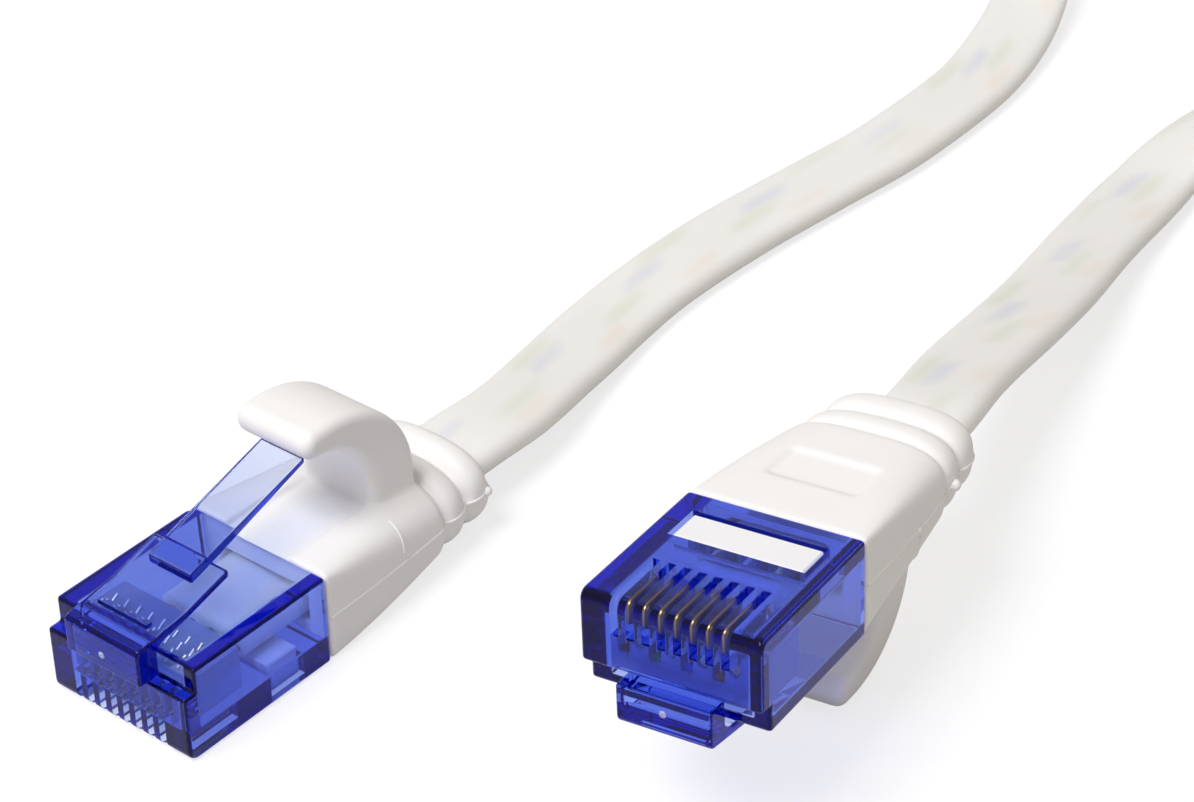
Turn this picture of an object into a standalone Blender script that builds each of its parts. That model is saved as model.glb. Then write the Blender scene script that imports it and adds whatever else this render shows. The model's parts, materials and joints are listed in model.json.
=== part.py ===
"""Flat ethernet patch cable: two modular plugs in hooded boots, with the spare cable wound in a coil.

Units are metres and +Z is up. A plug is drawn in its own frame: x across, y from the nose to the
cable, z from the contact face to the latch side. Plug A lies on its contact face and sets the frame
of the whole part. Plug B lies the other way up, on the hood of its boot.
"""

from math import atan2, copysign, cos, hypot, pi, radians, sin, tan

import bmesh
import bpy
from mathutils import Matrix, Vector

# Fits
FIT = 0.0002                    # gap between pieces that seat on each other
KNUCKLE_FIT = 0.00025           # running gap round the root of the hood
OVERCUT = 0.0005                # how far a cutter reaches past the face that it opens

# Fineness of the drawn curves
FINE_STEP = radians(11.25)
MEDIUM_STEP = radians(30)
COARSE_STEP = radians(45)
SHARP_ANGLE = radians(40)       # edges that turn by more than this are rounded
SECTION_POINTS = 32             # round the section of the boot
BOOT_STATIONS = 6               # lengths that the main body of the boot is drawn in
ROUTE_SAMPLES = 20              # between two points of a cable's route
WELD_DISTANCE = 1e-7

# Plug housing
PLUG_WIDTH = 0.01168
PLUG_HEIGHT = 0.00645
NOSE_HEIGHT = 0.0047            # height of the front face, below the latch root
NOSE_STEP = 0.00096             # how far the latch side stands back from the nose
BODY_LENGTH = 0.0122            # clear body ahead of the boot
TAIL_LENGTH = 0.0060            # part of the housing inside the boot
NOSE_ROUND = 0.00045            # front edge of the ribs between the contacts
EDGE_ROUND = 0.00025
FRONT_WALL = 0.0015
FLOOR_WALL = 0.0019             # wall between the contact face and the chamber
CEILING_WALL = 0.00115
CHAMBER_WIDTH = 0.0092
CHAMBER_END = 0.0115
WINDOW_WIDTH = 0.0089           # opening for the clamp bar, in the contact face
WINDOW_START = 0.00745
WINDOW_LENGTH = 0.0029

# Contacts and conductors
CONTACT_COUNT = 8
CONTACT_PITCH = 0.00102
CONTACT_THICKNESS = 0.00035
CONTACT_START = 0.0007
CONTACT_LENGTH = 0.0035
CONTACT_RECESS = 0.0006         # depth of the gold edge under the contact face
CONTACT_ROUND = 0.0005
BLADE_HEIGHT = 0.0015
TINE_STARTS = (0.0012, 0.0026)  # from the front of the blade
TINE_WIDTH = 0.00045
SLOT_WIDTH = 0.00066
SLOT_END = 0.0048
SLOT_HEIGHT = 0.0024
WIRE_DIAMETER = 0.0006
WIRE_ROWS = (0.0031, 0.00385)   # heights of the two staggered rows of conductors
WIRE_STRAIGHT_END = 0.0055
WIRE_JACKET_PITCH = 0.00074     # spacing where the conductors leave the jacket
BAR_LENGTH = 0.0036
BAR_CHANNEL = 0.0008            # width of a conductor's channel in the load bar
CLAMP_RECESS = 0.0001
CLAMP_ROUND = 0.0001

# Latch
LATCH_WIDTH = 0.0062
LATCH_OVERHANG = 0.0009         # how far the latch root stands ahead of the nose
LATCH_FACE = 0.0019
LATCH_FACE_ROUND = 0.0005
LATCH_ARCH_END = 0.0021         # where the round hollow under the root ends
LATCH_ARCH_RISE = 0.00075       # height of that hollow over the housing
LATCH_BEND = 0.0034             # where the plate turns up
LATCH_SHOULDER = 0.0070         # locking shoulder at the end of the wide plate
LATCH_RISES = (0.00105, 0.00155, 0.0025)  # plate top over the housing: root, bend, shoulder
LATCH_THICKNESS = 0.0007
LATCH_EDGE_ROUND = 0.0001
RIDGE_START = 0.0010            # stiffening ridge across the root of the plate
RIDGE_LENGTH = 0.0005
RIDGE_WIDTH = 0.0042
RIDGE_RISE = 0.00035            # over the plate
LATCH_HINGE = (0.00025, 0.0009)  # behind the nose, above the nose step
LEVER_WIDTH = 0.0036
LEVER_START = 0.0051
LEVER_END = 0.0152
LEVER_STEP = 0.00065            # how far the lever stands over the plate where it starts
LEVER_RISE = radians(15.5)
LEVER_ROOT_THICKNESS = 0.0013
LEVER_TIP_THICKNESS = 0.0008
LEVER_TIP_ROUND = 0.0002

# Boot and hood
BOOT_WALL = 0.00105
BOOT_MAIN_END = 0.0238          # rear end of the main body, before the ring ribs
BOOT_END_ROUND = 0.0007
RING_LENGTHS = (0.0024, 0.0028)
RING_DEPTH = 0.0007             # depth of the necks between the rings
REAR_TAPER = 0.0011             # loss of half width at the rear end
REAR_DROP = 0.0005              # loss of half height at the rear end
ROUND_RATE = 1.3                # how the corners of the section grow round towards the rear
ROUND_SHARE = 0.75              # share of the boot's length where they are fully round
FRONT_ROUND_RATIO = 0.04        # 0 is a square corner, 0.5 an ellipse
REAR_ROUND_RATIOS = (0.33, 0.47)  # contact side, latch side
TROUGH_WIDTH = 0.0052           # shallow trough under the lever
TROUGH_DEPTH = 0.0005
GRIP_START = 0.0163             # shallow grip recess in the contact side of the boot
GRIP_LENGTH = 0.0034
GRIP_WIDTH = 0.0061
GRIP_DEPTH = 0.0003
HOOD_WIDTH = 0.0063
HOOD_ROOT = 0.0041              # thickness of the hood at its root, and size of its knuckle
HOOD_HINGE_Y = 0.0216
HOOD_HINGE_RISE = 0.00065       # above the latch side of the plug
HOOD_TOP = 0.0142
HOOD_CROWN = 0.0160             # where the hood is highest
HOOD_TIP = 0.0142
HOOD_TIP_THICKNESS = 0.0020
HOOD_EDGE_ROUND = 0.0005

# Cable
CABLE_WIDTH = 0.0063
CABLE_THICKNESS = 0.0018
CABLE_HEIGHT = 0.0032           # height of the cable in the plug
JACKET_START = 0.0070
STRAIGHT_EXIT = 0.0030          # straight stretch behind the boot
END_GAP = 0.0003                # between the lengths that the cable is drawn in
FLOOR_GAP = 0.0001
CABLE_STEP = 0.0045             # length of one drawn step of a free run

# Coil of the spare length
COIL_CENTRE = (0.0040, 0.1485)
COIL_RADIUS = 0.0337            # middle of the outer turn
COIL_PITCH = 0.0028             # step of the spiral in one turn
COIL_SWEEP = radians(1320)
COIL_ENTRY = radians(210)
COIL_CLIMB = radians(90)
COIL_LAYER = 0.0069
POINTS_PER_TURN = 24
TIE_WIDTH = 0.0070
TIE_THICKNESS = 0.0005
TIE_CLEARANCE = 0.0006
TIE_ANGLE = radians(90)

# Places: the land between contact slots and clamp window of plug A is the origin
LAND = (SLOT_END + WINDOW_START) / 2
PLUG_A_PLACE = (0.0, -LAND, 0.0)
PLUG_A_TURN = (0.0, 0.0, 0.0)
PLUG_B_PLACE = (0.03180, 0.0066, 0.01560)
PLUG_B_TURN = (radians(-3.8), radians(176.6), radians(7.5))

# Routes of the free runs between boot and coil, chosen by hand
ROUTE_A = (
    (-0.0004, 0.0305, 0.0027),
    (-0.0022, 0.0380, 0.0016),
    (-0.0037, 0.0460, 0.0010),
    (-0.0041, 0.0530, 0.0010),
    (-0.0038, 0.0605, 0.0010),
    (-0.0029, 0.0685, 0.0010),
    (-0.0021, 0.0770, 0.0010),
    (-0.0022, 0.0870, 0.0010),
    (-0.0036, 0.0965, 0.0010),
    (-0.0072, 0.1065, 0.0014),
    (-0.0125, 0.1135, 0.0024),
)
ROUTE_B = (
    (0.0256, 0.0452, 0.0085),
    (0.0220, 0.0601, 0.0048),
    (0.0186, 0.0737, 0.0022),
    (0.0168, 0.0853, 0.0012),
    (0.0166, 0.0955, 0.0018),
    (0.0196, 0.1070, 0.0048),
    (0.0240, 0.1155, 0.0073),
)
TWIST_START_A = 0.72            # share of the run where the cable starts to turn on edge
TWIST_START_B = 0.55
TWIST_END = 0.95

BLUE_POLYCARBONATE = ("blue_polycarbonate", "#2a34c0", 0.12, 0.0)
CLEAR_POLYCARBONATE = ("clear_polycarbonate", "#a9c4ee", 0.15, 0.0)
GOLD_PLATE = ("gold_plated_bronze", "#d9a648", 0.25, 1.0)
WHITE_CLAMP = ("white_nylon", "#f1f0ec", 0.45, 0.0)
WHITE_BOOT = ("white_elastomer", "#f2efea", 0.55, 0.0)
WHITE_JACKET = ("white_soft_pvc", "#eeede8", 0.5, 0.0)
TIE_STRAP = ("grey_strap", "#8b8d90", 0.8, 0.0)
WIRE_COLOURS = ("#f0d2b4", "#e07b22", "#cfe3c4", "#2f5fbe", "#c4d3ec", "#3a9a4a", "#d9c7b6", "#7a4a2a")
WIRE_ROUGHNESS = 0.45


def linear_colour(code):
    """Turn an sRGB hex colour into linear values with full alpha."""
    channels = [int(code[i:i + 2], 16) / 255 for i in (1, 3, 5)]
    return [c / 12.92 if c <= 0.04045 else ((c + 0.055) / 1.055) ** 2.4 for c in channels] + [1.0]


def finish(name, code, roughness, metallic):
    """Principled material of one finish, made once and shared."""
    if name in bpy.data.materials:
        return bpy.data.materials[name]
    material = bpy.data.materials.new(name)
    material.use_nodes = True
    shader = material.node_tree.nodes["Principled BSDF"]
    shader.inputs["Base Color"].default_value = linear_colour(code)
    shader.inputs["Roughness"].default_value = roughness
    shader.inputs["Metallic"].default_value = metallic
    return material


def place(name, data, parent, surface, pivot=(0.0, 0.0, 0.0)):
    """Add one named piece to the cable, with its origin at its pivot in the parent's frame."""
    piece = bpy.data.objects.new(name, data)
    piece.location = pivot
    piece.parent = parent
    if not data.materials:
        data.materials.append(finish(*surface))
    cable_collection.objects.link(piece)
    return piece


def weld(mesh):
    """Join the loose caps and corners of a mesh and turn its faces outwards."""
    work = bmesh.new()
    work.from_mesh(mesh)
    bmesh.ops.remove_doubles(work, verts=work.verts, dist=WELD_DISTANCE)
    bmesh.ops.recalc_face_normals(work, faces=work.faces)
    work.to_mesh(mesh)
    work.free()
    return mesh


def baked(piece):
    """Turn a scratch object with its modifiers into a mesh in world space, and remove the object."""
    bpy.context.view_layer.update()
    evaluated = piece.evaluated_get(bpy.context.evaluated_depsgraph_get())
    mesh = bpy.data.meshes.new_from_object(evaluated)
    mesh.transform(piece.matrix_world)
    bpy.data.objects.remove(piece)
    return weld(mesh)


def scratch(data):
    """Put data in the scene as an unnamed helper object."""
    helper = bpy.data.objects.new("helper", data)
    helper.hide_render = True
    helper.display_type = "WIRE"
    cutter_collection.objects.link(helper)
    return helper


def box_mesh(low, high):
    """Box between two corners."""
    low, high = Vector(low), Vector(high)
    work = bmesh.new()
    scale = Matrix.Diagonal(high - low).to_4x4()
    bmesh.ops.create_cube(work, size=1.0, matrix=Matrix.Translation((low + high) / 2) @ scale)
    mesh = bpy.data.meshes.new("box")
    work.to_mesh(mesh)
    work.free()
    return mesh


def outline_mesh(outlines, thickness, turn):
    """Solid of a flat outline, with any further outlines as holes, turned from the XY plane."""
    curve = bpy.data.curves.new("outline", "CURVE")
    curve.dimensions = "2D"
    curve.fill_mode = "BOTH"
    curve.extrude = thickness / 2
    for outline in outlines:
        spline = curve.splines.new("POLY")
        spline.points.add(len(outline) - 1)
        for point, (u, v) in zip(spline.points, outline):
            point.co = (u, v, 0.0, 1.0)
        spline.use_cyclic_u = True
    helper = scratch(curve)
    helper.matrix_world = turn
    return baked(helper)


# A side view is drawn as (y, z) and a front view as (x, z)
SIDE_VIEW = Matrix(((0, 0, 1, 0), (1, 0, 0, 0), (0, 1, 0, 0), (0, 0, 0, 1)))
FRONT_VIEW = Matrix(((1, 0, 0, 0), (0, 0, -1, 0), (0, 1, 0, 0), (0, 0, 0, 1)))


def side_solid(outline, width):
    """Solid with the given (y, z) side view, centred on x = 0."""
    return outline_mesh([outline], width, SIDE_VIEW)


def combined(base, tools, operation):
    """Boolean of a mesh with further meshes, one after the other."""
    body = scratch(base)
    helpers = []
    for tool in tools:
        helper = scratch(tool)
        modifier = body.modifiers.new("combine", "BOOLEAN")
        modifier.operation = operation
        modifier.solver = "EXACT"
        modifier.object = helper
        helpers.append(helper)
    result = baked(body)
    for helper in helpers:
        bpy.data.objects.remove(helper)
    return result


def rounded(mesh, radius, segments=2):
    """Round the sharp edges of a mesh."""
    body = scratch(mesh)
    modifier = body.modifiers.new("round", "BEVEL")
    modifier.width = radius
    modifier.segments = segments
    modifier.limit_method = "ANGLE"
    modifier.angle_limit = SHARP_ANGLE
    return baked(body)


def arc(centre, radii, start, end, step):
    """Points on an elliptic arc, both ends included."""
    steps = round(abs(end - start) / step)
    angles = [start + (end - start) * i / steps for i in range(steps + 1)]
    return [(centre[0] + radii[0] * cos(a), centre[1] + radii[1] * sin(a)) for a in angles]


def contact_places():
    """Places of the contacts across the plug."""
    return [(i - (CONTACT_COUNT - 1) / 2) * CONTACT_PITCH for i in range(CONTACT_COUNT)]


def passage_mesh(start, end):
    """Cutter for the flat cable's way through housing and boot."""
    half = CABLE_WIDTH / 2 + FIT
    rise = CABLE_THICKNESS / 2 + FIT
    return box_mesh((-half, start, CABLE_HEIGHT - rise), (half, end, CABLE_HEIGHT + rise))


def housing_mesh():
    """Clear one-piece housing: stepped nose, contact slots, chamber, clamp window and narrow tail."""
    half = PLUG_WIDTH / 2
    tail_end = BODY_LENGTH + TAIL_LENGTH
    side = arc((NOSE_ROUND, NOSE_ROUND), (NOSE_ROUND, NOSE_ROUND), pi, 3 * pi / 2, MEDIUM_STEP)
    side += [(BODY_LENGTH, 0), (BODY_LENGTH, PLUG_HEIGHT), (NOSE_STEP, PLUG_HEIGHT),
             (NOSE_STEP, NOSE_HEIGHT), (0, NOSE_HEIGHT)]
    body = rounded(side_solid(side, PLUG_WIDTH), EDGE_ROUND)
    tail_half = half - BOOT_WALL
    tail = box_mesh((-tail_half, BODY_LENGTH - OVERCUT, BOOT_WALL),
                    (tail_half, tail_end, PLUG_HEIGHT - BOOT_WALL))
    body = combined(body, [tail], "UNION")
    chamber = box_mesh((-CHAMBER_WIDTH / 2, FRONT_WALL, FLOOR_WALL),
                       (CHAMBER_WIDTH / 2, CHAMBER_END, PLUG_HEIGHT - CEILING_WALL))
    window = box_mesh((-WINDOW_WIDTH / 2, WINDOW_START, -OVERCUT),
                      (WINDOW_WIDTH / 2, WINDOW_START + WINDOW_LENGTH, FLOOR_WALL + OVERCUT))
    reach = SLOT_WIDTH / 2
    slots = [box_mesh((x - reach, -OVERCUT, -OVERCUT), (x + reach, SLOT_END, SLOT_HEIGHT))
             for x in contact_places()]
    entry = passage_mesh(CHAMBER_END - OVERCUT, tail_end + OVERCUT)
    return combined(body, [chamber, window, entry] + slots, "DIFFERENCE")


def contact_mesh(wire_height):
    """Gold blade with two tines that reach up to its conductor."""
    end = CONTACT_START + CONTACT_LENGTH
    top = CONTACT_RECESS + BLADE_HEIGHT
    tip = wire_height - WIRE_DIAMETER / 2 - FIT
    corner = (CONTACT_START + CONTACT_ROUND, CONTACT_RECESS + CONTACT_ROUND)
    outline = arc(corner, (CONTACT_ROUND, CONTACT_ROUND), -pi, -pi / 2, MEDIUM_STEP)
    outline += [(end, CONTACT_RECESS), (end, top)]
    for start in sorted(TINE_STARTS, reverse=True):
        front = CONTACT_START + start
        outline += [(front + TINE_WIDTH, top), (front + TINE_WIDTH / 2, tip), (front, top)]
    outline.append((CONTACT_START, top))
    return side_solid(outline, CONTACT_THICKNESS)


def load_bar_mesh():
    """Clear comb that holds the conductors in two staggered rows over the contacts."""
    low = FLOOR_WALL + FIT
    high = PLUG_HEIGHT - CEILING_WALL - FIT
    half = CHAMBER_WIDTH / 2 - FIT
    radius = BAR_CHANNEL / 2
    outline = [(half, low), (half, high), (-half, high), (-half, low)]
    for i, x in enumerate(contact_places()):
        outline.append((x - radius, low))
        outline += arc((x, WIRE_ROWS[i % 2]), (radius, radius), pi, 0, COARSE_STEP)
        outline.append((x + radius, low))
    bar = outline_mesh([outline], BAR_LENGTH, FRONT_VIEW)
    bar.transform(Matrix.Translation((0, FRONT_WALL + FIT + BAR_LENGTH / 2, 0)))
    return bar


def clamp_bar_mesh():
    """White bar in the window that presses on the cable jacket."""
    half = WINDOW_WIDTH / 2 - FIT
    top = CABLE_HEIGHT - CABLE_THICKNESS / 2 - FIT
    bar = box_mesh((-half, WINDOW_START + FIT, CLAMP_RECESS),
                   (half, WINDOW_START + WINDOW_LENGTH - FIT, top))
    return rounded(bar, CLAMP_ROUND, 1)


def latch_mesh():
    """Clear latch: root block with a ridge, wide plate with its locking shoulder, narrower lever."""
    low = NOSE_HEIGHT + FIT
    back = NOSE_STEP - FIT
    root, bend, shoulder = (PLUG_HEIGHT + rise for rise in LATCH_RISES)
    root_start = LATCH_FACE_ROUND - LATCH_OVERHANG
    hollow = (LATCH_ARCH_END - back, LATCH_ARCH_RISE)
    plate = [(-LATCH_OVERHANG, low), (back, low)]
    plate += arc((LATCH_ARCH_END, PLUG_HEIGHT), hollow, pi, pi / 2, MEDIUM_STEP)
    plate += [(LATCH_BEND, bend - LATCH_THICKNESS), (LATCH_SHOULDER, shoulder - LATCH_THICKNESS),
              (LATCH_SHOULDER, shoulder), (LATCH_BEND, bend),
              (root_start, root), (-LATCH_OVERHANG, low + LATCH_FACE)]
    seat = root + (bend - root) * (RIDGE_START - root_start) / (LATCH_BEND - root_start)
    ridge = box_mesh((-RIDGE_WIDTH / 2, RIDGE_START, seat - RIDGE_RISE),
                     (RIDGE_WIDTH / 2, RIDGE_START + RIDGE_LENGTH, seat + RIDGE_RISE))
    slope = (shoulder - bend) / (LATCH_SHOULDER - LATCH_BEND)
    start_top = bend + slope * (LEVER_START - LATCH_BEND) + LEVER_STEP
    end_top = start_top + (LEVER_END - LEVER_START) * tan(LEVER_RISE)
    end_low = end_top - LEVER_TIP_THICKNESS
    lever = [(LEVER_START, start_top - LEVER_ROOT_THICKNESS),
             (LEVER_END - LEVER_TIP_ROUND, end_low), (LEVER_END, end_low + LEVER_TIP_ROUND),
             (LEVER_END, end_top - LEVER_TIP_ROUND), (LEVER_END - LEVER_TIP_ROUND, end_top),
             (LEVER_START, start_top)]
    wide = rounded(side_solid(plate, LATCH_WIDTH), LATCH_EDGE_ROUND, 1)
    narrow = rounded(side_solid(lever, LEVER_WIDTH), LATCH_EDGE_ROUND, 1)
    return combined(wide, [ridge, narrow], "UNION")


def boot_end():
    """Where the boot ends and the free cable starts."""
    return BOOT_MAIN_END + sum(RING_LENGTHS)


def boot_stations():
    """Places along the boot, each with the depth of its section under the smooth outside."""
    start = BODY_LENGTH + FIT
    round_start = BOOT_MAIN_END - BOOT_END_ROUND
    step = (round_start - start) / BOOT_STATIONS
    stations = [(start + step * i, 0.0) for i in range(BOOT_STATIONS + 1)]
    for y, z in arc((round_start, 0.0), (BOOT_END_ROUND, RING_DEPTH), pi / 2, 0, COARSE_STEP)[1:]:
        stations.append((y, RING_DEPTH - z))
    ring_start = BOOT_MAIN_END
    for length in RING_LENGTHS:
        middle = (ring_start + length / 2, 0.0)
        for y, z in arc(middle, (length / 2, RING_DEPTH), pi, 0, MEDIUM_STEP)[1:]:
            stations.append((y, RING_DEPTH - z))
        ring_start += length
    return stations


def boot_section(y, depth):
    """Section of the boot: square like the housing in front, and nearly an ellipse at the rear."""
    share = (y - BODY_LENGTH) / (boot_end() - BODY_LENGTH)
    grown = min(1.0, share / ROUND_SHARE) ** ROUND_RATE
    powers = [FRONT_ROUND_RATIO + (rear - FRONT_ROUND_RATIO) * grown for rear in REAR_ROUND_RATIOS]
    half = PLUG_WIDTH / 2 - REAR_TAPER * share ** 2 - depth
    rise = PLUG_HEIGHT / 2 - REAR_DROP * share ** 2 - depth
    points = []
    for i in range(SECTION_POINTS):
        angle = 2 * pi * i / SECTION_POINTS
        power = powers[1] if angle <= pi else powers[0]
        x = copysign(half * abs(cos(angle)) ** (2 * power), cos(angle))
        z = copysign(rise * abs(sin(angle)) ** (2 * power), sin(angle))
        points.append((x, y, PLUG_HEIGHT / 2 + z))
    return points


def loft_mesh(sections):
    """Closed solid through a row of sections with the same number of points."""
    work = bmesh.new()
    rings = [[work.verts.new(point) for point in section] for section in sections]
    for ring, following in zip(rings, rings[1:]):
        for i in range(len(ring)):
            work.faces.new((ring[i - 1], ring[i], following[i], following[i - 1]))
    work.faces.new(rings[0])
    work.faces.new(rings[-1])
    mesh = bpy.data.meshes.new("loft")
    work.to_mesh(mesh)
    work.free()
    return weld(mesh)


def hood_hinge():
    """Middle of the hood's knuckle, as (y, z) in the plug's frame."""
    return HOOD_HINGE_Y, PLUG_HEIGHT + HOOD_HINGE_RISE


def boot_mesh():
    """White boot: pocket for the housing's tail, ring ribs, lever trough and seat of the hood."""
    body = loft_mesh([boot_section(y, depth) for y, depth in boot_stations()])
    pocket_half = PLUG_WIDTH / 2 - BOOT_WALL + FIT
    pocket = box_mesh((-pocket_half, BODY_LENGTH - OVERCUT, BOOT_WALL - FIT),
                      (pocket_half, BODY_LENGTH + TAIL_LENGTH + FIT, PLUG_HEIGHT - BOOT_WALL + FIT))
    passage = passage_mesh(BODY_LENGTH + TAIL_LENGTH - OVERCUT, boot_end() + OVERCUT)
    hinge = hood_hinge()
    trough = box_mesh((-TROUGH_WIDTH / 2, BODY_LENGTH - OVERCUT, PLUG_HEIGHT - TROUGH_DEPTH),
                      (TROUGH_WIDTH / 2, hinge[0], PLUG_HEIGHT + OVERCUT))
    radius = HOOD_ROOT / 2 + KNUCKLE_FIT
    round_seat = arc(hinge, (radius, radius), 0, 2 * pi, FINE_STEP)[:-1]
    seat = side_solid(round_seat, HOOD_WIDTH + 2 * KNUCKLE_FIT)
    grip = box_mesh((-GRIP_WIDTH / 2, GRIP_START, -OVERCUT),
                    (GRIP_WIDTH / 2, GRIP_START + GRIP_LENGTH, GRIP_DEPTH))
    return combined(body, [pocket, passage, trough, seat, grip], "DIFFERENCE")


def hood_mesh():
    """White hood that arches from its knuckle over the end of the lever and guards it."""
    hinge = hood_hinge()
    radius = HOOD_ROOT / 2
    tip_radius = HOOD_TIP_THICKNESS / 2
    tip_centre = (HOOD_TIP + tip_radius, HOOD_TOP - tip_radius)
    outer = (hinge[0] + radius - HOOD_CROWN, HOOD_TOP - hinge[1])
    inner = (hinge[0] - radius - tip_centre[0], HOOD_TOP - HOOD_TIP_THICKNESS - hinge[1])
    outline = arc((HOOD_CROWN, hinge[1]), outer, 0, pi / 2, FINE_STEP)
    outline += arc(tip_centre, (tip_radius, tip_radius), pi / 2, 3 * pi / 2, MEDIUM_STEP)
    outline += arc((tip_centre[0], hinge[1]), inner, pi / 2, 0, FINE_STEP)[1:]
    outline += arc(hinge, (radius, radius), pi, 2 * pi, FINE_STEP)[1:-1]
    return rounded(side_solid(outline, HOOD_WIDTH), HOOD_EDGE_ROUND)


def tube_curve(name, points, width):
    """Round tube through the given points."""
    curve = bpy.data.curves.new(name, "CURVE")
    curve.dimensions = "3D"
    curve.bevel_depth = width / 2
    curve.bevel_resolution = 1
    curve.use_fill_caps = True
    spline = curve.splines.new("POLY")
    spline.points.add(len(points) - 1)
    for target, point in zip(spline.points, points):
        target.co = (*point, 1.0)
    return curve


def wire_points(number, x):
    """Way of one conductor from the jacket's end into its channel over the contact."""
    row = WIRE_ROWS[number % 2]
    jacket_x = (number - (CONTACT_COUNT - 1) / 2) * WIRE_JACKET_PITCH
    return [(x, FRONT_WALL + 2 * FIT, row), (x, WIRE_STRAIGHT_END, row),
            (jacket_x, JACKET_START - END_GAP, CABLE_HEIGHT)]


def plug_frame(name, location, turn):
    """Empty that carries one plug: turned about its length, then tilted, then headed."""
    frame = bpy.data.objects.new(name, None)
    frame.rotation_mode = "YXZ"
    frame.location = location
    frame.rotation_euler = turn
    cable_collection.objects.link(frame)
    return frame


def build_plug(side, frame, meshes):
    """All pieces of one plug, carried by its frame."""
    place(f"housing_{side}", meshes["housing"], frame, BLUE_POLYCARBONATE)
    place(f"latch_{side}", meshes["latch"], frame, BLUE_POLYCARBONATE, latch_hinge())
    place(f"load_bar_{side}", meshes["load_bar"], frame, CLEAR_POLYCARBONATE)
    place(f"clamp_bar_{side}", meshes["clamp_bar"], frame, WHITE_CLAMP)
    place(f"boot_{side}", meshes["boot"], frame, WHITE_BOOT)
    place(f"hood_{side}", meshes["hood"], frame, WHITE_BOOT, (0.0, *hood_hinge()))
    for i, x in enumerate(contact_places()):
        place(f"contact_{side}_{i + 1}", meshes["contacts"][i % 2], frame, GOLD_PLATE, (x, 0.0, 0.0))
        surface = (f"wire_insulation_{i + 1}", WIRE_COLOURS[i], WIRE_ROUGHNESS, 0.0)
        place(f"wire_{side}_{i + 1}", meshes["wires"][i], frame, surface)


def latch_hinge():
    """Middle of the latch root, about which the latch flexes."""
    return 0.0, LATCH_HINGE[0], NOSE_HEIGHT + LATCH_HINGE[1]


def plug_meshes():
    """The pieces that both plugs share, each drawn about its own origin."""
    latch = latch_mesh()
    latch.transform(Matrix.Translation(-Vector(latch_hinge())))
    hood = hood_mesh()
    hood.transform(Matrix.Translation(-Vector((0.0, *hood_hinge()))))
    return {
        "housing": housing_mesh(),
        "latch": latch,
        "load_bar": load_bar_mesh(),
        "clamp_bar": clamp_bar_mesh(),
        "boot": boot_mesh(),
        "hood": hood,
        "contacts": [contact_mesh(row) for row in WIRE_ROWS],
        "wires": [tube_curve("wire", wire_points(i, x), WIRE_DIAMETER)
                  for i, x in enumerate(contact_places())],
    }


def smoothstep(value):
    """Soft step from 0 to 1."""
    value = min(1.0, max(0.0, value))
    return value * value * (3 - 2 * value)


def coil_points():
    """Middle of the coiled cable: a spiral in, a climb, and a spiral out, with straight ends."""
    half_sweep = COIL_SWEEP / 2
    low = CABLE_WIDTH / 2 + FLOOR_GAP
    count = round(COIL_SWEEP / (2 * pi) * POINTS_PER_TURN)
    lift = TIE_THICKNESS + TIE_CLEARANCE
    points = []
    for i in range(count + 1):
        turned = COIL_SWEEP * i / count
        angle = COIL_ENTRY - turned
        radius = COIL_RADIUS - COIL_PITCH * (half_sweep - abs(half_sweep - turned)) / (2 * pi)
        climb = smoothstep((turned - half_sweep) / COIL_CLIMB + 0.5)
        height = low + COIL_LAYER * climb + lift * (1 + sin(angle)) / 2
        points.append(Vector((COIL_CENTRE[0] + radius * cos(angle),
                              COIL_CENTRE[1] + radius * sin(angle), height)))
    lead_in = (points[0] - points[1]).normalized() * CABLE_WIDTH
    lead_out = (points[-1] - points[-2]).normalized() * CABLE_WIDTH
    return [points[0] + lead_in] + points + [points[-1] + lead_out]


def smooth_run(points):
    """Points at even steps on a smooth curve through the points of a route."""
    padded = [2 * points[0] - points[1]] + list(points) + [2 * points[-1] - points[-2]]
    fine = []
    for before, start, end, after in zip(padded, padded[1:], padded[2:], padded[3:]):
        length = (end - start).length
        into = (end - before) / ((end - start).length + (start - before).length) * length
        out = (after - start) / ((after - end).length + length) * length
        for i in range(ROUTE_SAMPLES):
            t = i / ROUTE_SAMPLES
            fine.append(start * (2 * t**3 - 3 * t**2 + 1) + into * (t**3 - 2 * t**2 + t)
                        + end * (3 * t**2 - 2 * t**3) + out * (t**3 - t**2))
    fine.append(points[-1])
    lengths = [0.0]
    for a, b in zip(fine, fine[1:]):
        lengths.append(lengths[-1] + (b - a).length)
    count = max(2, round(lengths[-1] / CABLE_STEP))
    even, at = [], 0
    for i in range(count + 1):
        wanted = lengths[-1] * i / count
        while at < len(fine) - 2 and lengths[at + 1] < wanted:
            at += 1
        share = (wanted - lengths[at]) / (lengths[at + 1] - lengths[at])
        even.append(fine[at].lerp(fine[at + 1], share))
    return even


def path_length(points):
    """Length along a row of points."""
    return sum((b - a).length for a, b in zip(points, points[1:]))


def flat_profile():
    """Section of the flat cable, with round edges, as a guide curve."""
    radius = CABLE_THICKNESS / 2
    reach = CABLE_WIDTH / 2 - radius
    curve = bpy.data.curves.new("cable_section", "CURVE")
    curve.dimensions = "2D"
    outline = arc((reach, 0.0), (radius, radius), -pi / 2, pi / 2, COARSE_STEP)
    outline += arc((-reach, 0.0), (radius, radius), pi / 2, 3 * pi / 2, COARSE_STEP)
    spline = curve.splines.new("POLY")
    spline.points.add(len(outline) - 1)
    for point, (u, v) in zip(spline.points, outline):
        point.co = (u, v, 0.0, 1.0)
    spline.use_cyclic_u = True
    return scratch(curve)


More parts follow.
